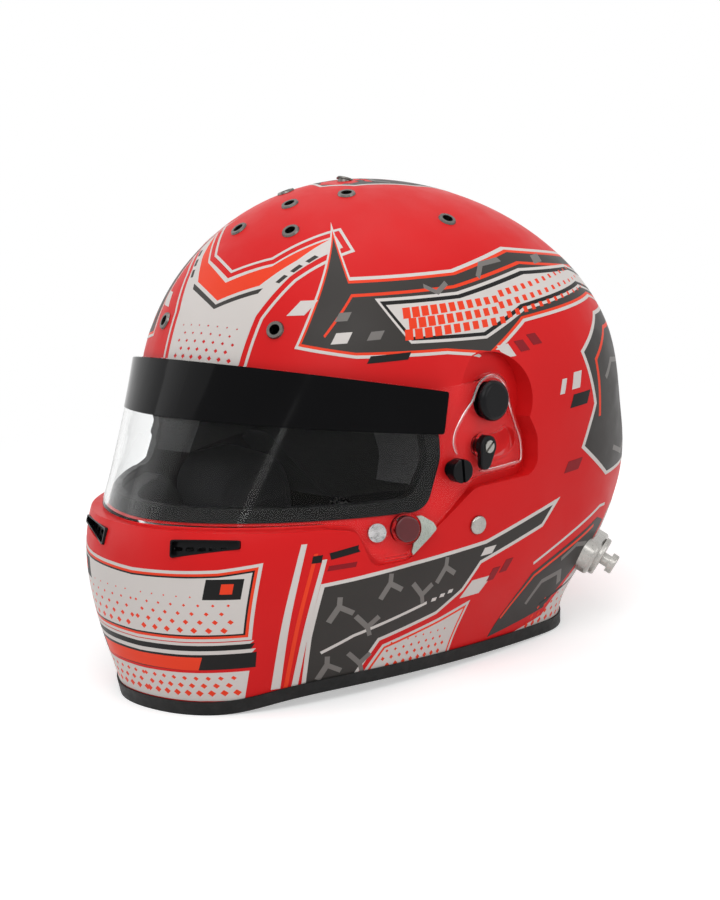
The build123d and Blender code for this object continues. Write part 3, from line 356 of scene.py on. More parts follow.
def clear_plastic(name, colour, rough, bend):
    """Clear polycarbonate sheet, faintly tinted, with a hard coat and fine wipe marks."""
    material, tree, shader = new_material(name)
    shader.inputs["Base Color"].default_value = (*colour, 1)
    shader.inputs["Transmission Weight"].default_value = 1.0
    shader.inputs["IOR"].default_value = bend
    place = place_of(tree, (1, 1, 6))
    wiped = spread(tree, noise(tree, place, 30, 6, 0.7), rough, rough * 2.5, 0.4, 0.8)
    tree.links.new(wiped, shader.inputs["Roughness"])
    bump(tree, shader, noise(tree, place_of(tree), 25, 2), 0.03, 0.0002)
    return material


paints = {name: paint(name, colour)[0] for name, colour in PAINTS.items()}
steel = metal("plated_steel", (0.4, 0.39, 0.365), 0.24)
dark_metal = metal("dark_eyelet_metal", (0.16, 0.15, 0.14), 0.32)
anchor_metal = metal("anodised_anchor", (0.46, 0.445, 0.42), 0.3, 500)
plate_metal = metal("brushed_lock_plate", (0.4, 0.43, 0.385), 0.3, 500, (1, 8, 1))
mirror_metal = metal("polished_disc", (0.66, 0.64, 0.64), 0.09)
black_plastic = plastic("satin_black_plastic", (0.005, 0.005, 0.006), 0.2, 1400, 0.04, 0.14)
button_red = plastic("dark_red_button", (0.1, 0.004, 0.007), 0.07, 900, 0.02, 0.45)
seal_rubber = rubber("seal_rubber", (0.004, 0.004, 0.004))
trim_rubber = rubber("trim_rubber", (0.016, 0.016, 0.016))
foam = bead_foam("impact_foam", (0.03, 0.03, 0.031))
lining = knit("lining_knit", (0.009, 0.009, 0.01), 1.1, 0.08)
strap_cloth = webbing("strap_webbing", (0.02, 0.02, 0.021))
thread = plastic("sewing_thread", (0.07, 0.07, 0.072), 0.6)
visor_clear = clear_plastic("visor_polycarbonate", (0.985, 0.99, 0.99), 0.006, 1.15)
ridge_clear = clear_plastic("moulded_ridge", (0.97, 0.975, 0.975), 0.02, 1.5)
strip_film = film("strip_film", (0.0035, 0.0035, 0.004))


def dress(material, *names):
    """Give carried-over parts their finish."""
    for name in names:
        mesh = nodes[name].data
        mesh.materials.clear()
        mesh.materials.append(material)


def pair(name):
    return name + "_left", name + "_right"


dress(dark_metal, "vent_eyelets")
dress(black_plastic, *pair("chin_vent_grille"), *pair("visor_pivot_screw"), *pair("visor_pivot_washer"),
      *pair("guide_cam"), *pair("tear_off_post"))
dress(steel, *pair("visor_pivot_nut"), *pair("guide_screw"), *pair("strap_rivet"), *pair("strap_anchor"),
      *pair("anchor_nut"), "strap_snap", "d_ring_lower", "d_ring_upper", "lock_spring_washer",
      "shell_magnet")
dress(anchor_metal, *pair("anchor_plate"), *pair("anchor_post"))
dress(plate_metal, "lock_plate")
dress(mirror_metal, "visor_steel_disc")
dress(button_red, "lock_button")
dress(seal_rubber, "eyeport_gasket")
dress(trim_rubber, "base_edge_trim")
dress(foam, "crown_liner", "chin_bar_liner")
dress(visor_clear, "visor_shield")
dress(strip_film, "sun_strip")


# Painted design: thin films of paint laid on the shell, cut from one triangulated layout of its left half
CHART_RADIUS = 130.0
CHART_CENTRE = np.array([0.0, -4.0, 125.0])
FILM_HEIGHT = 0.16
FILM_DEPTH = 0.12
FILM_STEP = 3.4
EDGE_STEP = 4.0
LONGEST_MITRE = 3.2
FORM_REACH = 260.0
HALVINGS = 34
RAY_START = 300
OFF_FORM = 0.04
MIDDLE_BAND = 0.06
GRID_SHIFT = (0.37, 0.61)
RIM_POINTS = 360
LEAST_AREA = 1e-4
HALF_TURN = CHART_RADIUS * math.pi / 2


def to_form(start, way):
    """Where rays from inside, given as arrays of starts and directions, leave the form."""
    near = np.zeros(len(start))
    far = np.full(len(start), FORM_REACH)
    for _ in range(HALVINGS):
        middle = (near + far) / 2
        at = start + way * middle[:, None]
        out = (outside(at) > 1) | (at[:, 2] > SHELL_HEIGHT)
        far = np.where(out, middle, far)
        near = np.where(out, near, middle)
    return start + way * near[:, None]


def wrapped(points):
    """Places on the form from (distance round it from the front, height)."""
    points = np.array(points, float)
    turn_angle = points[:, 0] / CHART_RADIUS
    start = np.column_stack([0 * turn_angle, CHART_CENTRE[1] + 0 * turn_angle, points[:, 1]])
    way = np.column_stack([np.sin(turn_angle), -np.cos(turn_angle), 0 * turn_angle])
    return to_form(start, way)


def over_crown(points):
    """Places on the form from (distance across, distance over the crown from the front)."""
    points = np.array(points, float)
    rise = points[:, 1] / CHART_RADIUS
    start = np.column_stack([points[:, 0], CHART_CENTRE[1] + 0 * rise, CHART_CENTRE[2] + 0 * rise])
    way = np.column_stack([0 * rise, -np.cos(rise), np.sin(rise)])
    return to_form(start, way)


def to_chart(places):
    """Flat layout coordinates: distance and bearing from the middle of the left side."""
    way = places - CHART_CENTRE
    way /= np.linalg.norm(way, axis=1)[:, None]
    angle = np.arccos(np.clip(way[:, 0], -1, 1))
    side = np.maximum(np.hypot(way[:, 1], way[:, 2]), 1e-9)
    return way[:, 1:] * (CHART_RADIUS * angle / side)[:, None]


def from_chart(flat):
    """Unit directions from the middle of the helmet."""
    distance = np.maximum(np.hypot(flat[:, 0], flat[:, 1]), 1e-9)
    angle = distance / CHART_RADIUS
    across = np.sin(angle) / distance
    return np.column_stack([np.cos(angle), flat[:, 0] * across, flat[:, 1] * across])


def divided(points, step=EDGE_STEP, whole=math.ceil):
    """A closed outline with its edges cut into short pieces."""
    result = []
    for first, second in zip(points, points[1:] + points[:1]):
        count = max(1, whole(math.dist(first, second) / step))
        for k in range(count):
            result.append(tuple(a + (b - a) * (k / count) for a, b in zip(first, second)))
    return result


def grown(points, distance):
    """A closed outline moved outwards, or inwards if negative, with mitred corners."""
    area = sum(a[0] * b[1] - b[0] * a[1] for a, b in zip(points, points[1:] + points[:1]))
    sign = 1 if area > 0 else -1
    result = []
    for before, here, after in zip(points[-1:] + points[:-1], points, points[1:] + points[:1]):
        one = Vector((here[1] - before[1], before[0] - here[0])).normalized() * sign
        two = Vector((after[1] - here[1], here[0] - after[0])).normalized() * sign
        middle = (one + two).normalized()
        reach = distance * min(1 / max(middle.dot(one), 0.2), LONGEST_MITRE)
        result.append((here[0] + middle.x * reach, here[1] + middle.y * reach))
    return result


def both_sides(points):
    """A half outline that starts and ends at the middle, closed with its mirror image."""
    return points + [(-x, s) for x, s in reversed(points) if x > 0.01]


layout = []


def lay(colour, points, place=wrapped):
    """Add one flat area of the design. Later areas cover earlier ones."""
    layout.append((colour, to_chart(place(divided(points)))))


def bordered(points, bands, place=wrapped):
    """An area with outlines, given as (growth, colour) from the outermost in."""
    for growth, colour in bands:
        lay(colour, grown(points, growth) if growth else points, place)


def line(colour, points, width, place=wrapped):
    """A line of one width along a few points."""
    left, right = [], []
    for k, here in enumerate(points):
        before = points[max(k - 1, 0)]
        after = points[min(k + 1, len(points) - 1)]
        one = Vector((here[0] - before[0], here[1] - before[1]))
        two = Vector((after[0] - here[0], after[1] - here[1]))
        one = (one if one.length else two).normalized()
        two = (two if two.length else one).normalized()
        middle = (one + two).normalized()
        reach = width / 2 / max(middle.dot(one), 0.5)
        left.append((here[0] - middle.y * reach, here[1] + middle.x * reach))
        right.append((here[0] + middle.y * reach, here[1] - middle.x * reach))
    lay(colour, left + right[::-1], place)


def slanted(colour, at, size, lean, place=wrapped):
    """A small leaning bar from its lower left corner."""
    x, y = at
    right, top = x + size[0], y + size[1]
    lay(colour, [(x, y), (right, y), (right + lean, top), (x + lean, top)], place)


def bars(*rows):
    """Leaning bars, each as (colour, x, y, width, height, lean)."""
    for colour, x, y, width, height, lean in rows:
        slanted(colour, (x, y), (width, height), lean)


def fading_squares(colour, corner, pitch, counts, sizes, place=wrapped, inside=None):
    """Rows of small squares stood on their corners, smaller from the first row to the last."""
    for row in range(counts[1]):
        size = sizes[0] + (sizes[1] - sizes[0]) * row / max(counts[1] - 1, 1)
        for column in range(counts[0]):
            x = corner[0] + (column + 0.5 * (row % 2)) * pitch[0]
            y = corner[1] + row * pitch[1]
            if inside and not inside(x, y):
                continue
            lay(colour, [(x - size, y), (x, y - size), (x + size, y), (x, y + size)], place)


# Forehead: a pale field under a chevron
forehead = both_sides([(0, 119), (26, 133), (47, 165), (55, 160), (40, 128), (31, 98), (28, 52), (0, 52)])
bordered(forehead, [(5.0, "white"), (3.3, "red"), (0, "white")], over_crown)
chevron = [(0, 104), (25, 117), (38, 139), (42, 150), (46, 161), (26, 131), (0, 116)]
lay("orange", both_sides(chevron), over_crown)
lay("charcoal", both_sides([(0, 98.5), (26.5, 112), (28, 116), (25, 114.5), (0, 101.5)]), over_crown)
fading_squares("red", (-25, 63), (7.2, 5.0), (8, 6), (1.9, 0.7), over_crown, lambda x, y: abs(x) < 24.5)
for k in range(3):
    slanted("charcoal", (33.5 + 4.6 * k, 121.5 + 9.5 * k), (2.6, 6.2), 2.6, over_crown)

# Upper side: a dark blade with a pale panel that fades to the rear
blade = [(84, 190), (116, 240), (122, 218), (206, 216), (262, 222), (322, 210), (368, 178), (372, 166),
         (304, 192), (236, 190), (206, 176), (178, 181), (120, 184)]
bordered(blade, [(3.0, "white"), (1.4, "orange"), (0, "charcoal")])
line("orange", [(100, 193), (123, 212), (200, 210.5), (262, 216), (318, 205)], 1.5)
panel = [(146, 206), (158, 189), (206, 186), (240, 196), (300, 199), (352, 179), (338, 191), (304, 205),
         (258, 210), (200, 204.5)]
bordered(panel, [(3.4, "white"), (1.9, "black"), (0, "white")])
for row in range(3):
    for column in range(24):
        share = column / 23
        size = 2.7 - 2.1 * share
        x = 158 + column * 6.6 + 3.3 * (row % 2) - row * 1.2
        y = 201 - row * 5.4 + (2.0 if x > 226 else 0) + min(max(x - 226, 0) * 0.06, 3.2)
        corners = ((-1, -1), (1, -1), (1.5, 1), (-0.5, 1))
        lay("orange", [(x + size * across, y + size * rise) for across, rise in corners])
for at in ((108, 200), (128, 189.5), (274, 213.5), (338, 195)):
    slanted("grey", at, (9, 4.2), 4)
line("grey", [(222, 213), (232, 219), (250, 219.5)], 2.4)
line("grey", [(178, 213), (186, 209), (196, 213)], 2.4)
bars(
    ("white", 104, 189, 11, 5.4, 4.5), ("white", 72, 204, 14, 7, 11), ("black", 126, 178, 26, 3.6, 3),
    ("white", 214, 171, 8, 7, -3), ("dark_red", 226, 172.5, 6.5, 6, -2.5),
    ("dark_red", 236, 174.5, 6.5, 6, -2.5),
)

# Crown: a dark shield that runs to the rear
shield = both_sides([(0, 206), (17, 214), (31, 246), (26, 296), (12, 330), (0, 336)])
bordered(shield, [(1.8, "white"), (0, "charcoal")], over_crown)
lay("dark_red", both_sides([(0, 236), (13, 243), (22, 262), (19, 268), (10, 251), (0, 245)]), over_crown)
line("grey", [(22, 236), (15, 230), (8, 233)], 2.6, over_crown)
line("grey", [(6, 268), (14, 278), (12, 292), (4, 300)], 2.6, over_crown)
line("white", [(20, 276), (19, 296), (9, 320)], 1.4, over_crown)

# Rear quarter: a dark many-sided block
block = [(270, 164), (296, 180), (344, 178), (360, 150), (352, 112), (326, 93), (288, 92), (266, 112),
         (275, 134)]
bordered(block, [(2.0, "white"), (0, "charcoal")])
line("orange", [(278, 126), (278.5, 158), (299, 172), (336, 170)], 2.0)
line("grey", [(294, 104), (308, 98), (322, 104), (322, 114)], 2.8)
line("grey", [(334, 160), (346, 148), (342, 134)], 2.8)
line("grey", [(286, 146), (296, 154), (310, 151)], 2.8)
line("white", [(318, 165), (340, 163), (348, 154)], 1.3)
bars(
    ("orange", 330, 140, 11, 9, 2), ("dark_red", 338, 100, 9, 12, -4), ("dark_red", 327, 96, 8, 12, -4),
    ("white", 256, 146, 6, 9, 3), ("white", 247, 145, 3.4, 8, 3), ("black", 254, 136, 13, 7, 3),
    ("dark_red", 251, 100, 11, 6, 3),
)

# Chin: a pale band between pinstripes
chin = both_sides([(0, 76), (46, 78), (61, 80), (54, 47), (0, 45.5)])
bordered(chin, [(3.8, "white"), (2.2, "orange"), (0.9, "black"), (0, "white")])
fading_squares("orange", (-56, 49), (6.8, 4.6), (17, 5), (1.7, 0.55), inside=lambda x, y: abs(x) < 52)
bars(("black", 38, 66, 17, 11, 2.4), ("orange", 46, 69, 5.5, 5.5, 1.2))
bands = ((39.6, 41.2, "white"), (36.6, 39.6, "black"), (34.4, 36.6, "white"), (25.5, 34.4, "black"))
for low, high, colour in bands:
    lay(colour, both_sides([(0, high), (58, high + 1.5), (56, low + 1.5), (0, low)]))
lay("orange", both_sides([(0, 33.2), (34, 33.8), (31, 26.2), (0, 26)]))
lay("white", both_sides([(0, 24), (53, 25), (48, 8), (0, 8)]))
fading_squares("orange", (-49.5, 12.5), (5.6, 4.4), (19, 3), (1.9, 1.3), inside=lambda x, y: abs(x) < 46)

# Slashes that part the chin from the jaw
for shift, width, colour in ((0, 4.2, "white"), (5.6, 2.0, "orange"), (9.2, 3.0, "white")):
    foot, top = 60 + shift, 92 - shift
    lay(colour, [(foot, 12), (foot + width, 12), (foot + 24 + width * 0.4, top), (foot + 23, top)])

# Jaw: a dark swept block over a pale one
jaw = [(92, 68), (140, 71), (192, 73), (244, 84), (236, 75), (188, 64), (176, 50), (158, 40), (118, 32),
       (98, 8), (75, 8), (83, 40)]
bordered(jaw, [(2.0, "white"), (0, "charcoal")])
line("white", [(86, 30), (104, 37), (150, 47)], 1.7)
for k in range(3):
    slanted("white", (153 + 6 * k, 46.8 + 1.2 * k), (3.4, 2), 0.8)
forks = ((98, 52, 1), (112, 44, -1), (126, 60, 1), (146, 56, -1), (162, 62, 1), (88, 18, 1), (106, 22, -1))
for x, y, turned in forks:
    line("grey", [(x - 6, y - 4.5 * turned), (x, y + 3.5 * turned), (x + 7, y - 1.5 * turned)], 3.0)
    line("grey", [(x, y + 3 * turned), (x + 1, y + 9 * turned)], 2.6)
bars(
    ("white", 188, 66.5, 9, 4.2, 3), ("white", 176, 44, 16, 9, 8), ("dark_red", 196, 50, 6, 7, 4),
    ("dark_red", 206, 53, 6, 7, 4),
)
skirt = [(104, 8), (121, 27), (162, 35), (186, 41), (176, 8)]
bordered(skirt, [(0, "white"), (-1.6, "orange"), (-3.0, "white")])
fading_squares("orange", (118, 13), (6.0, 4.6), (9, 4), (1.7, 0.8), inside=lambda x, y: x > 112 + y * 0.5)
line("black", [(96, 84), (118, 87)], 3.6)
bars(("black", 87, 81.5, 4.6, 3.8, 1), ("dark_red", 94, 76.5, 14, 2.6, 1))

# Behind the jaw: a dark bar beside a pale patch round the restraint anchor
bar = [(216, 12), (238, 46), (286, 66), (296, 62), (268, 18)]
bordered(bar, [(0, "charcoal")])
line("orange", [(224, 22), (241, 44), (284, 62)], 1.8)
line("white", [(236, 52), (286, 72.5), (292, 72)], 1.6)
line("grey", [(246, 26), (252, 38), (266, 40), (272, 32)], 3.0)
line("grey", [(262, 48), (272, 54), (282, 52)], 2.6)
patch = [(232, 8), (270, 13), (304, 68), (352, 72), (366, 50), (372, 8)]
bordered(patch, [(0, "white")])
fading_squares("orange", (250, 10.5), (6.4, 4.6), (19, 4), (1.8, 0.8), inside=lambda x, y: x > 240 + y)
line("black", [(262, 22), (300, 34), (340, 36)], 1.6)
lay("charcoal", both_sides([(0, 408), (24, 404), (34, 414), (22, 432), (0, 436)]), over_crown)
line("white", [(30, 398), (44, 414), (30, 436)], 1.8, over_crown)
line("orange", [(0, 414), (16, 411), (22, 418)], 1.6, over_crown)

# Bare rings under the eyelets
EYELET_RING = 5.2
EYELETS = [((0, -28, 255.46), (0, -.352, .936)), ((0, 16, 263.47), (0, .12, .99)),
           ((45.05, -88.11, 197.59), (.338, -.8, .496)), ((21, -48.6, 244), (.141, -.505, .852)),
           ((24.5, -7.5, 259.03), (.191, -.176, .966)), ((71.48, 22, 241.96), (.539, -.009, .842))]
for seat, normal in EYELETS:
    normal = Vector(normal).normalized()
    sideways = normal.orthogonal().normalized()
    other = normal.cross(sideways)
    turns = np.linspace(0, 2 * math.pi, 24, False)
    ring = [Vector(seat) + (sideways * math.cos(a) + other * math.sin(a)) * EYELET_RING for a in turns]
    layout.append(("red", to_chart(np.array(ring, float))))


def within(flat, outline):
    """Which of an array of flat points lie inside a closed outline."""
    inside = np.zeros(len(flat), bool)
    low, high = outline.min(0), outline.max(0)
    near = np.flatnonzero(((flat >= low) & (flat <= high)).all(1))
    if not len(near):
        return inside
    x, y = flat[near].T
    ax, ay = outline.T
    bx, by = np.roll(outline, -1, 0).T
    crossed = (ay[None] > y[:, None]) != (by[None] > y[:, None])
    with np.errstate(divide="ignore", invalid="ignore"):
        cross_x = ax[None] + (y[:, None] - ay[None]) * (bx - ax)[None] / (by - ay)[None]
    inside[near] = (crossed & (x[:, None] < cross_x)).sum(1) % 2 == 1
    return inside


def laid_out():
    """Triangulate the whole layout once: flat points, triangles and each triangle's colour."""
    reach = np.arange(-HALF_TURN - 10, HALF_TURN + 10, FILM_STEP)
    grid = np.array(np.meshgrid(reach, reach)).reshape(2, -1).T + np.array(GRID_SHIFT)
    kept = np.zeros(len(grid), bool)
    for colour, outline in layout:
        kept |= within(grid, outline)
    kept &= np.hypot(*grid.T) < HALF_TURN + 6
    points = [Vector(p) for p in grid[kept]]
    edges = []
    turns = np.linspace(0, 2 * math.pi, RIM_POINTS, False)
    rim = np.column_stack([np.cos(turns), np.sin(turns)]) * HALF_TURN
    for outline in [rim] + [o for c, o in layout]:
        first = len(points)
        points += [Vector(p) for p in outline]
        edges += [(first + k, first + (k + 1) % len(outline)) for k in range(len(outline))]
    flat, _, triangles, *_ = delaunay_2d_cdt(points, edges, [], 0, 1e-5, False)
    flat = np.array([tuple(p) for p in flat], float)
    triangles = np.array([t for t in triangles if len(t) == 3])
    middle = flat[triangles].mean(1)
    colours = np.full(len(triangles), "red", object)
    for colour, outline in layout:
        colours[within(middle, outline)] = colour
    inside = np.hypot(*middle.T) < HALF_TURN - 0.02
    a, b, c = (flat[triangles[:, k]] for k in range(3))
    area = (b - a)[:, 0] * (c - a)[:, 1] - (b - a)[:, 1] * (c - a)[:, 0]
    triangles[area < 0] = triangles[area < 0][:, ::-1]
    inside &= np.abs(area) > LEAST_AREA
    return flat, triangles[inside], colours[inside]


shell_tree = tree_of(nodes["outer_shell"].data)
flat, triangles, colours = laid_out()
on_middle = np.abs(np.hypot(*flat.T) - HALF_TURN) < MIDDLE_BAND
ways = from_chart(flat)
ways[on_middle, 0] = 0.0
ways /= np.linalg.norm(ways, axis=1)[:, None]
places, slopes = [], []
for mirror in (1, -1):
    found = np.full((len(ways), 3), np.nan)
    for k, way in enumerate(ways * (mirror, 1, 1)):
        hit = shell_tree.ray_cast(Vector((CHART_CENTRE + way * RAY_START) * MM), Vector(-way))[0]
        if hit is not None:
            found[k] = np.array(hit) / MM
    slope = form_slope(np.nan_to_num(found))
    slope /= np.maximum(np.linalg.norm(slope, axis=1), 1e-9)[:, None]
    found[np.abs(outside(np.nan_to_num(found)) - 1) > OFF_FORM] = np.nan
    places.append(found)
    slopes.append(slope)


def film_piece(colour):
    """Both sides' areas of one colour as one closed thin mesh with the form's own shading."""
    chosen = triangles[colours == colour]
    key = {}
    top, normals, faces = [], [], []
    for side, mirror in enumerate((1, -1)):
        for triangle in chosen if mirror == 1 else chosen[:, ::-1]:
            if np.isnan(places[side][triangle]).any():
                continue
            face = []
            for k in triangle:
                spot = (int(k), 0 if on_middle[k] else side)
                if spot not in key:
                    key[spot] = len(top)
                    top.append(places[spot[1]][k])
                    normals.append(slopes[spot[1]][k])
                face.append(key[spot])
            faces.append(tuple(face))
    top, normals = np.array(top), np.array(normals)
    count = len(top)
    directed = {(f[k], f[(k + 1) % 3]) for f in faces for k in range(3)}
    walls = [(b, a, a + count, b + count) for a, b in directed if (b, a) not in directed]
    walls.sort()
    under = [(c + count, b + count, a + count) for a, b, c in faces]
    points = np.vstack([top + normals * FILM_HEIGHT, top - normals * FILM_DEPTH]) * MM
    mesh = mesh_of("livery_" + colour, points.tolist(), faces + under + walls)
    shading = [tuple(normals[v]) for face in faces for v in face]
    shading += [tuple(-normals[v - count]) for face in under for v in face]
    shading += [tuple(wall.normal) for wall in mesh.polygons[2 * len(faces):] for _ in wall.vertices]
    mesh.normals_split_custom_set(shading)
    piece = linked("livery_" + colour, mesh, paints[colour])
    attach(piece, "helmet")


for colour in paints:
    film_piece(colour)
dress(shell_paint(), "outer_shell")

# Moulded ridge that stiffens the visor round its pivot, on both sides
RIDGE = [(-34.2, 126.0), (-35.4, 129.7), (-35.6, 133.1), (-34.2, 137.8), (-31.9, 141.5), (-28.5, 145.8),
         (-24.9, 149.3), (-21.1, 152.7), (-18.2, 157.1), (-14.6, 161.0), (-8.5, 163.2), (-2, 162.5),
         (3.4, 158.6), (6.5, 151.5), (7.4, 145), (10.8, 134), (13.9, 125), (14.0, 115.6), (12.0, 112.9),
         (4, 112.8), (-12, 113.2), (-20, 114.4)]
RIDGE_RADIUS = 0.9
RIDGE_RISE = 0.8
RIDGE_SEAT = 0.03


def smooth_run(points, count):
    """An open curve through points, with count steps in each span."""
    ends = np.array([points[0], *points, points[-1]], float)
    a, b, c, d = ends[:-3], ends[1:-2], ends[2:-1], ends[3:]
    t = np.linspace(0, 1, count, False)[:, None, None]
    square, cube = 2 * a - 5 * b + 4 * c - d, 3 * b - a - 3 * c + d
    curve = 0.5 * (2 * b + (c - a) * t + square * t * t + cube * t**3)
    return np.vstack([curve.transpose(1, 0, 2).reshape(-1, 2), ends[-1:]])


def ridge_piece(name, side):
    """A half-round bead on the visor's outer face, tapered at its ends."""
    seats = []
    for y, z in smooth_run(RIDGE, 5):
        beside = Vector((side * 0.2, y * MM, z * MM))
        spot, normal, _, _ = visor_tree.ray_cast(beside, Vector((-side, 0, 0)))
        if spot is not None:
            seats.append((spot, normal))
    bow = [(math.cos(a), math.sin(a)) for a in np.linspace(0, math.pi, 9)]
    points = []
    last = len(seats) - 1
    for k, (spot, normal) in enumerate(seats):
        along = (seats[min(k + 1, last)][0] - seats[max(k - 1, 0)][0]).normalized()
        across = along.cross(normal)
        size = RIDGE_RADIUS * MM * min(1, 0.25 + 0.25 * min(k, last - k))
        base = spot + normal * RIDGE_SEAT * MM
        points += [base + (across * u + normal * v * RIDGE_RISE) * size for u, v in bow]
    count = len(bow)
    mesh = mesh_of(
        name, points, tube_faces(len(seats), count),
        lambda face: len(face.vertices) == 4 and face.index % count != count - 1,
    )
    tidy = bmesh.new()
    tidy.from_mesh(mesh)
    bmesh.ops.recalc_face_normals(tidy, faces=tidy.faces)
    tidy.to_mesh(mesh)
    tidy.free()
    piece = linked(name, mesh, ridge_clear)
    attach(piece, "visor")


visor_tree = tree_of(nodes["visor_shield"].data)
ridge_piece("visor_ridge_left", 1)
ridge_piece("visor_ridge_right", -1)

# The coned washer under the lock button, which flattens against the visor as the button goes in: copied
# into a piece of its own on the visor, left in its coned shape
spring = linked("button_spring", nodes["lock_spring_washer"].data.copy())
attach(spring, "visor")
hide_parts("lock_spring_washer")
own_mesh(spring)

# Padded lining: each pad starts a little inside its solid and is swollen by cloth pressure
PAD_ROOM = 0.3 * MM
CLOTH = {
    "quality": 6, "mass": 0.25, "tension_stiffness": 12, "compression_stiffness": 12,
    "bending_stiffness": 0.4, "use_pressure": True,
}
CLOTH_FRAMES = 20


def applied(piece):
    """Put a piece's modifiers into its mesh."""
    bpy.context.view_layer.update()
    mesh = bpy.data.meshes.new_from_object(piece.evaluated_get(bpy.context.evaluated_depsgraph_get()))
    piece.modifiers.clear()
    piece.data = mesh


def vectors(mesh, kind):
    values = np.empty(len(mesh.vertices) * 3)
    mesh.vertices.foreach_get(kind, values)
    return values.reshape(-1, 3)


def coordinates(mesh):
    return vectors(mesh, "co")


def set_coordinates(mesh, places):
    mesh.vertices.foreach_set("co", places.ravel())
    mesh.update()


def kept_inside(places, tree, room):
    """Points moved to lie at least room under a closed surface."""
    result = places.copy()
    for k, place in enumerate(places):
        spot, normal, _, _ = tree.find_nearest(Vector(place))
        if (Vector(place) - spot).dot(normal) > -room:
            result[k] = spot - normal * room
    return result


def pad(name, source, voxel, shrink, cap, pressure):
    """A soft pad in the space of one solid, with its sizes in millimetres."""
    solid = tree_of(nodes[source].data)
    piece = linked(name, nodes[source].data.copy())
    remesh = piece.modifiers.new("remesh", "REMESH")
    remesh.mode = "VOXEL"
    remesh.voxel_size = voxel * MM
    applied(piece)
    mesh = piece.data
    set_coordinates(mesh, coordinates(mesh) - vectors(mesh, "normal") * shrink * MM)
    smooth = piece.modifiers.new("smooth", "SMOOTH")
    smooth.factor = 0.5
    smooth.iterations = 4
    applied(piece)
    start = kept_inside(coordinates(piece.data), solid, PAD_ROOM)
    set_coordinates(piece.data, start)
    cloth = piece.modifiers.new("cloth", "CLOTH")
    for key, value in CLOTH.items():
        setattr(cloth.settings, key, value)
    cloth.settings.uniform_pressure_force = pressure
    cloth.settings.effector_weights.gravity = 0
    cloth.collision_settings.use_collision = False
    for step in range(1, CLOTH_FRAMES + 1):
        bpy.context.scene.frame_set(step)
    applied(piece)
    bpy.context.scene.frame_set(1)
    move = coordinates(piece.data) - start
    length = np.linalg.norm(move, axis=1)
    move *= (np.minimum(length, cap * MM) / np.maximum(length, 1e-9))[:, None]
    set_coordinates(piece.data, kept_inside(start + move, solid, PAD_ROOM))
    fine = piece.modifiers.new("fine", "SUBSURF")
    fine.levels = 1
    applied(piece)
    piece.data.polygons.foreach_set("use_smooth", [True] * len(piece.data.polygons))
    return piece


def channel(piece, distance, width, depth):
    """Press a sewn channel into a pad along where a distance function of its points is zero."""
    mesh = piece.data
    places = coordinates(mesh)
    sink = depth * np.exp(-(distance(places / MM) / width) ** 2)
    set_coordinates(mesh, places - vectors(mesh, "normal") * (sink * MM)[:, None])


STITCH_SIDES = 6
STITCH_END = -0.3
LONGEST_STEP = 12.0


def stitches(name, rows, radius=0.3, length=2.6, gap=1.5, lift=0.12):
    """Short lengths of thread along rows of (point, normal) in metres."""
    points, faces = [], []
    for row in rows:
        walked = 0.0
        laid = []
        for (a, normal), (b, _) in zip(row, row[1:]):
            step = (b - a).length / MM
            if step > LONGEST_STEP:
                walked = 0.0
                continue
            while walked < step:
                laid.append((a.lerp(b, walked / step), (b - a).normalized(), normal))
                walked += length + gap
            walked -= step
        for middle, along, normal in laid:
            across = along.cross(normal).normalized()
            faces += tube_faces(4, STITCH_SIDES, len(points))
            for share, size, rise in ((-0.5, 0.45, STITCH_END), (-0.3, 1, lift), (0.3, 1, lift),
                                      (0.5, 0.45, STITCH_END)):
                centre = middle + along * share * length * MM + normal * rise * MM
                for angle in np.arange(STITCH_SIDES) * 2 * math.pi / STITCH_SIDES:
                    way = across * math.cos(angle) + normal * math.sin(angle)
                    points.append(centre + way * radius * size * MM)
    piece = linked(name, mesh_of(name, points, faces), thread)
    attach(piece, "helmet")
    return piece


def row_on(piece, starts, ways):
    """Where rays in metres meet a pad: a row of (point, normal)."""
    tree = tree_of(piece.data)
    row = []
    for start, way in zip(starts, ways):
        spot, normal, _, _ = tree.ray_cast(Vector(start), Vector(way))
        if spot is not None:
            row.append((spot, normal))
    return row


def rounded_loop(centre, size, corner, step=2.0):
    """Points in a plane round a rounded rectangle."""
    half = (size[0] / 2 - corner, size[1] / 2 - corner)
    loop = []
    for k, (sx, sy) in enumerate(((1, 1), (-1, 1), (-1, -1), (1, -1))):
        for angle in np.linspace(k * math.pi / 2, (k + 1) * math.pi / 2, 8):
            loop.append((centre[0] + sx * half[0] + corner * math.cos(angle),
                         centre[1] + sy * half[1] + corner * math.sin(angle)))
    result = divided(loop, step, round)
    return result + result[:1]


def to_loop(points, loop):
    """Distance in a plane from points to a closed run of points."""
    loop = np.array(loop)
    return np.sqrt(((points[:, None] - loop[None]) ** 2).sum(2).min(1))


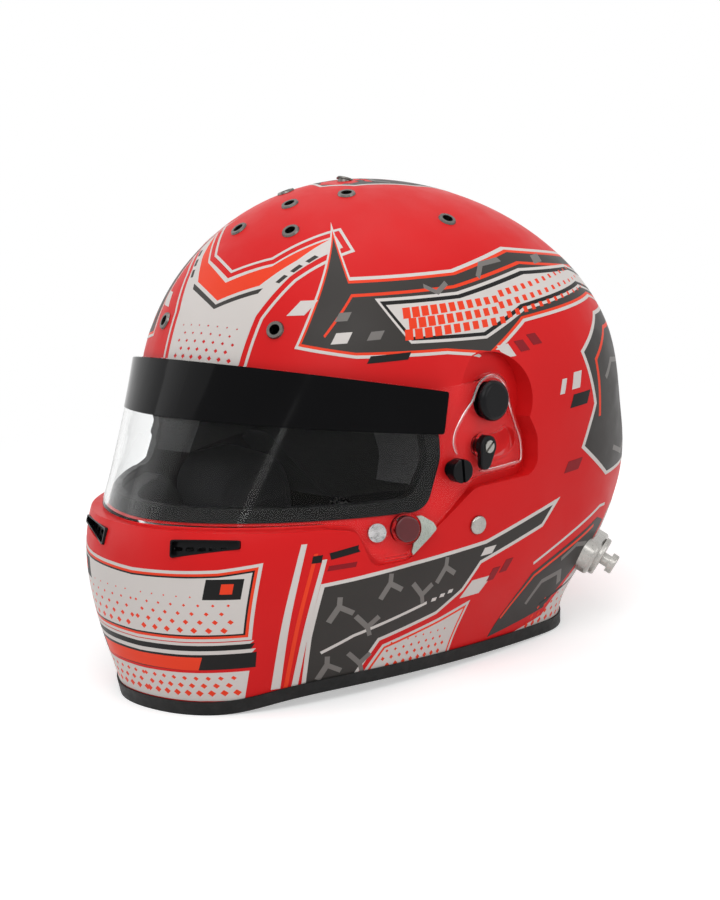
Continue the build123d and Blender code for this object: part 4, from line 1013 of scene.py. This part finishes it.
# Crown lining: a middle panel and two side panels over the head
HEAD_CENTRE = np.array([0.0, 8.0, 120.0])
PANEL_SEAM = 29.0
CROSS_SEAM = 12.0
FAR = 99
STITCH_OFFSET = 3.4
crown_pad = pad("crown_lining_pad", "crown_comfort_lining", voxel=4.5, shrink=1.4, cap=1.6, pressure=2.0)
channel(crown_pad, lambda p: np.abs(p[:, 0]) - PANEL_SEAM, width=3.0, depth=2.2)
channel(
    crown_pad, lambda p: np.where(np.abs(p[:, 0]) < PANEL_SEAM, p[:, 1] - CROSS_SEAM, FAR),
    width=3.0, depth=2.2,
)
crown_pad.data.materials.append(lining)
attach(crown_pad, "helmet")
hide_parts("crown_comfort_lining")
rows = []
arc = np.linspace(-0.1, math.pi + 0.1, 130)
for side in (-1, 1):
    for offset in (-STITCH_OFFSET, STITCH_OFFSET):
        starts = [(HEAD_CENTRE + (side * PANEL_SEAM + offset, 0, 0)) * MM] * len(arc)
        rows.append(row_on(crown_pad, starts, [(0, -math.cos(a), math.sin(a)) for a in arc]))
across = np.linspace(-PANEL_SEAM + 4, PANEL_SEAM - 4, 26)
for offset in (-STITCH_OFFSET, STITCH_OFFSET):
    starts = [(x * MM, (CROSS_SEAM + offset) * MM, HEAD_CENTRE[2] * MM) for x in across]
    rows.append(row_on(crown_pad, starts, [(0, 0, 1)] * len(across)))
stitches("crown_lining_stitching", rows)

# Nape roll: sewn into four cells
nape = pad("nape_roll", "nape_pad", voxel=4.0, shrink=1.8, cap=2.2, pressure=3.0)
NAPE_CENTRE = 30.0
NAPE_SEAMS = (38, 62, 90, 118, 142)
NAPE_STITCH_TURN = 2.4


def from_seam(points, seam):
    """Distance round the nape from points to a seam at an angle in degrees."""
    x, y = points[:, 0], points[:, 1] - NAPE_CENTRE
    return (np.arctan2(y, x) - math.radians(seam)) * np.hypot(x, y)


for seam in NAPE_SEAMS:
    channel(nape, lambda p, seam=seam: from_seam(p, seam), width=3.0, depth=2.4)
nape.data.materials.append(lining)
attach(nape, "helmet")
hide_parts("nape_pad")
rows = []
for seam in NAPE_SEAMS:
    for offset in (-NAPE_STITCH_TURN, NAPE_STITCH_TURN):
        angle = math.radians(seam + offset)
        heights = np.linspace(18, 46, 14)
        rows.append(row_on(nape, [(0, NAPE_CENTRE * MM, z * MM) for z in heights],
                           [(math.cos(angle), math.sin(angle), 0)] * len(heights)))
stitches("nape_stitching", rows)

# Cheek pads: a sewn panel on the face and two channels across it
CHEEK_MIDDLE = (-10.0, 62.0)
CHEEK_SEAMS = (50, 74)
CHEEK_SEAM_REACH = 24
CHEEK_FACE = 80
cheek_loop = rounded_loop(CHEEK_MIDDLE, (50, 62), 18)


def to_panel(points):
    return np.where(np.abs(points[:, 0]) < CHEEK_FACE, to_loop(points[:, 1:], cheek_loop), FAR)


def to_seam(points, height):
    x, y, z = points.T
    crossed = (np.abs(x) < CHEEK_FACE) & (np.abs(y - CHEEK_MIDDLE[0]) < CHEEK_SEAM_REACH)
    return np.where(crossed, z - height, FAR)


for side, way in (("left", 1), ("right", -1)):
    cheek = pad("cheek_cushion_" + side, "cheek_pad_" + side, voxel=3.6, shrink=1.8, cap=2.2, pressure=4.0)
    channel(cheek, to_panel, width=2.2, depth=1.8)
    for height in CHEEK_SEAMS:
        channel(cheek, lambda p, height=height: to_seam(p, height), width=2.6, depth=1.5)
    cheek.data.materials.append(lining)
    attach(cheek, "helmet")
    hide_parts("cheek_pad_" + side)
    inner = rounded_loop(CHEEK_MIDDLE, (43, 55), 15)
    rows = [row_on(cheek, [(0, y * MM, z * MM) for y, z in inner], [(way, 0, 0)] * len(inner))]
    stitches("cheek_stitching_" + side, rows)


# Chin strap: woven webbing along the same bends as its solid
STRAP_ORIGIN = Vector((119.786, -22.0, 0))
STRAP_OUT = Vector((0.990629, -0.136581, 0))
STRAP_ALONG = Vector((0.136581, 0.990629, 0))
STRAP_WIDTH = 21.6
STRAP_THICK = 1.7
STRAP_ROLL = 0.7
STRAP_WALL = [(-4.62, 91), (-6.9, 74), (-12.0, 54), (-22.5, 32), (-30.85, 16)]
STRAP_BENDS = [60, 60, 60, 20, 5]
RIVET_HEIGHT = 85.0
RIVET_HOLE = 2.8 * MM
DRILL_LENGTH = 0.04
SEWN_HALF_WIDTH = 8.6
SEWN_UPPER = (15, 27)
ARC_STEPS = 8


def rounded_route(points, radii, step=1.2):
    """Points along straight runs joined by arcs, at even steps."""
    points = [Vector(p) for p in points]
    run = [points[0]]
    for before, here, after, radius in zip(points, points[1:], points[2:], radii):
        back, on = (before - here).normalized(), (after - here).normalized()
        half = back.angle(on) / 2
        reach = radius / math.tan(half)
        centre = here + (back + on).normalized() * (radius / math.sin(half))
        first, last = here + back * reach - centre, here + on * reach - centre
        turn_by = first.angle_signed(last)
        for k in range(ARC_STEPS + 1):
            angle = -turn_by * k / ARC_STEPS
            run.append(centre + Vector((first.x * math.cos(angle) - first.y * math.sin(angle),
                                        first.x * math.sin(angle) + first.y * math.cos(angle))))
    run.append(points[-1])
    even = [run[0]]
    spare = 0.0
    for first, second in zip(run, run[1:]):
        length = (second - first).length
        walked = step - spare
        while walked < length:
            even.append(first.lerp(second, walked / length))
            walked += step
        spare = length - (walked - step)
    return even + [run[-1]]


def strap_place(side, out, along, height):
    spot = STRAP_ORIGIN + STRAP_OUT * out + STRAP_ALONG * along
    return Vector((spot.x * side, spot.y, height)) * MM


def strap_piece(name, side, route):
    """Webbing with rolled edges along a route in the strap's own plane."""
    points, places = [], []
    edge, thick = STRAP_WIDTH / 2 - STRAP_ROLL, STRAP_THICK / 2
    section = [(w, 1) for w in np.linspace(edge, -edge, 12)]
    section += [(-edge - STRAP_ROLL * math.sin(a), math.cos(a)) for a in np.linspace(0.5, math.pi - 0.5, 4)]
    section += [(-w, -rise) for w, rise in section]
    walked = 0.0
    for k, here in enumerate(route):
        ahead = (route[min(k + 1, len(route) - 1)] - route[max(k - 1, 0)]).normalized()
        walked += (here - route[k - 1]).length if k else 0
        for w, rise in section:
            out, height = here.x - ahead.y * rise * thick, here.y + ahead.x * rise * thick
            points.append(strap_place(side, out, w, height))
            places.append((w * MM, walked * MM))
    faces = tube_faces(len(route), len(section))
    if side > 0:
        faces = [face[::-1] for face in faces]
    mesh = mesh_of(name, points, faces, lambda face: len(face.vertices) == 4)
    layer = mesh.uv_layers.new(name="weave")
    for loop in mesh.loops:
        layer.data[loop.index].uv = places[loop.vertex_index]
    piece = linked(name, mesh, strap_cloth)
    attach(piece, "helmet")
    return piece


def strap_rows(side, route, face, lines):
    """Rows of thread: each is (share along the route from, to, place across from, to)."""
    rows = []
    total = len(route) - 1
    for start, end, first, last in lines:
        row = []
        for share in np.linspace(0, 1, 24):
            k = min(int(start + (end - start) * share), total)
            ahead = (route[min(k + 1, total)] - route[max(k - 1, 0)]).normalized()
            out = Vector((-ahead.y, ahead.x)) * face
            spot = route[k] + out * STRAP_THICK / 2
            w = first + (last - first) * share
            normal = STRAP_OUT * out.x + Vector((0, 0, out.y))
            normal.x *= side
            row.append((strap_place(side, spot.x, w, spot.y), normal))
        rows.append(row)
    return rows


def box_stitch(start, end, wide=SEWN_HALF_WIDTH):
    """A sewn rectangle with its diagonals."""
    return [(start, end, -wide, -wide), (start, end, wide, wide), (start, start + 0.01, -wide, wide),
            (end, end + 0.01, -wide, wide), (start, end, -wide, wide), (start, end, wide, -wide)]


ringed = rounded_route(
    [*STRAP_WALL, (-36.2, 8.25), (-49, 8.25), (-57.5, 3.35), (-62.7, 3.35), (-62.7, 13.45), (-57.5, 13.45),
     (-50, 10.1), (-38.5, 10.1)],
    [*STRAP_BENDS, 6, 4, 2.6, 2.6, 4, 6])
loose = rounded_route([*STRAP_WALL, (-36.8, 5.4), (-69.786, 5.4), (-69.786, 9.4), (-56.2, 9.4)],
                      [*STRAP_BENDS, 1.8, 1.8])
for name, side, route, sewn in (("left", 1, ringed, (-11, -1)), ("right", -1, loose, (-9, -2))):
    strap = strap_piece("strap_webbing_" + name, side, route)
    drill = bmesh.new()
    seat = Vector((STRAP_ORIGIN.x * side, STRAP_ORIGIN.y, RIVET_HEIGHT))
    slope = Vector(form_slope(np.array([seat]))[0]).normalized()
    aim = Matrix.Translation(seat * MM) @ slope.to_track_quat("Z", "Y").to_matrix().to_4x4()
    bmesh.ops.create_cone(
        drill, cap_ends=True, segments=32, radius1=RIVET_HOLE, radius2=RIVET_HOLE,
        depth=DRILL_LENGTH, matrix=aim,
    )
    drill_mesh = bpy.data.meshes.new("drill")
    drill.to_mesh(drill_mesh)
    drill.free()
    cutter = linked("drill", drill_mesh)
    hole = strap.modifiers.new("hole", "BOOLEAN")
    hole.object = cutter
    hole.solver = "EXACT"
    applied(strap)
    bpy.data.objects.remove(cutter)
    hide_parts("chin_strap_" + name)
    last = len(route) - 1
    rows = strap_rows(side, route, 1 if name == "left" else -1, box_stitch(last + sewn[0], last + sewn[1]))
    rows += strap_rows(side, route, -1, box_stitch(*SEWN_UPPER))
    stitches("strap_stitching_" + name, rows, 0.28, 2.2, 0.9, 0.08)


# Stage: pale floor, white surroundings, soft studio light and the photograph's camera
SKY_LIGHT = 0.4


def stage_light(name, place, aim_height, size, power):
    data = bpy.data.lights.new(name, "AREA")
    data.shape = "RECTANGLE"
    data.size, data.size_y = size
    data.energy = power
    lamp = linked(name, data)
    lamp.location = Vector(place)
    lamp.rotation_mode = "QUATERNION"
    lamp.rotation_quaternion = (Vector((0, 0, aim_height)) - Vector(place)).to_track_quat("-Z", "Y")


VIEW_AZIMUTH = math.radians(46.07)
VIEW_ELEVATION = math.radians(11.07)
VIEW_ROLL = math.radians(-4.53)
VIEW_DISTANCE = 1.3962
VIEW_TARGET = Vector((0, 7.17, 126.05)) * MM
PHOTO_SIZE = (720, 900)
FOCAL_PIXELS = 2430.6
PRINCIPAL = (352.8, 420.6)

camera_data = bpy.data.cameras.new("camera")
camera_data.lens = FOCAL_PIXELS / PHOTO_SIZE[1] * camera_data.sensor_width
camera_data.shift_x = (PHOTO_SIZE[0] / 2 - PRINCIPAL[0]) / PHOTO_SIZE[1]
camera_data.shift_y = (PRINCIPAL[1] - PHOTO_SIZE[1] / 2) / PHOTO_SIZE[1]
camera_data.clip_start = 0.05
camera = linked("camera", camera_data)
view = Matrix.Translation(VIEW_TARGET)
for angle, axis in ((VIEW_AZIMUTH, "Z"), (math.pi / 2 - VIEW_ELEVATION, "X"), (VIEW_ROLL, "Z")):
    view = view @ Matrix.Rotation(angle, 4, axis)
camera.matrix_world = view @ Matrix.Translation((0, 0, VIEW_DISTANCE))
bpy.context.scene.camera = camera


def background_rays(tree):
    """1 for rays from the camera, a reflection or through clear plastic."""
    path = node(tree, "ShaderNodeLightPath")
    straight = sums(tree, "MAXIMUM", path.outputs["Is Camera Ray"], path.outputs["Is Transmission Ray"])[0]
    return sums(tree, "MAXIMUM", straight, path.outputs["Is Glossy Ray"])[0]


world = bpy.data.worlds.new("surroundings")
world.use_nodes = True
tree = world.node_tree
tree.nodes.clear()
seen = background_rays(tree)
plain = node(tree, "ShaderNodeBackground", [("Color", (1, 1, 1, 1)), ("Strength", SKY_LIGHT)])
bright = node(tree, "ShaderNodeBackground", [("Color", (1, 1, 1, 1)), ("Strength", 1.0)])
mixed = node(tree, "ShaderNodeMixShader", [(0, seen), (1, plain.outputs[0]), (2, bright.outputs[0])])
node(tree, "ShaderNodeOutputWorld", [("Surface", mixed.outputs[0])])
bpy.context.scene.world = world

FLOOR_LIFT = 0.45
FLOOR_HALF = 6
FLOOR_FADE = (0.3, 0.75)
floor_corners = [(x * FLOOR_HALF, y * FLOOR_HALF, 0) for x, y in ((-1, -1), (1, -1), (1, 1), (-1, 1))]
floor_mesh = mesh_of("floor", floor_corners, [(0, 1, 2, 3)])
floor_material, tree, shader = new_material("pale_floor")
shader.inputs["Base Color"].default_value = (0.8, 0.8, 0.8, 1)
shader.inputs["Roughness"].default_value = 0.9
shader.inputs["Specular IOR Level"].default_value = 0.0
away = sums(tree, "LENGTH", place_of(tree), kind=OF_VECTORS)["Value"]
white = node(tree, "ShaderNodeEmission", [("Color", (1, 1, 1, 1)), ("Strength", 1.0)])
lift = node(tree, "ShaderNodeEmission", [("Color", (1, 1, 1, 1)), ("Strength", FLOOR_LIFT)])
near_floor = node(tree, "ShaderNodeAddShader", [(0, shader.outputs[0]), (1, lift.outputs[0])])
fade = node(tree, "ShaderNodeMapRange", [
    ("Value", away), ("From Min", FLOOR_FADE[0]), ("From Max", FLOOR_FADE[1]),
], interpolation_type="SMOOTHSTEP").outputs["Result"]
seen_floor = node(tree, "ShaderNodeMixShader", [
    (0, fade), (1, near_floor.outputs[0]), (2, white.outputs[0]),
])
floor_mix = node(tree, "ShaderNodeMixShader", [
    (0, background_rays(tree)), (1, shader.outputs[0]), (2, seen_floor.outputs[0]),
])
tree.links.new(floor_mix.outputs[0], tree.nodes["Material Output"].inputs["Surface"])
floor = linked("floor", floor_mesh, floor_material)

stage_light("key", (0.9, -1.1, 1.5), 0.12, (1.4, 1.0), 12)
stage_light("fill", (-1.5, -1.0, 0.8), 0.12, (1.2, 1.2), 5)
stage_light("side", (1.7, 0.5, 0.7), 0.12, (1.0, 1.0), 5)
stage_light("top", (0, 0.1, 1.9), 0.1, (1.6, 1.6), 12)

scene = bpy.context.scene
scene.view_settings.view_transform = "Standard"
bpy.context.view_layer.update()
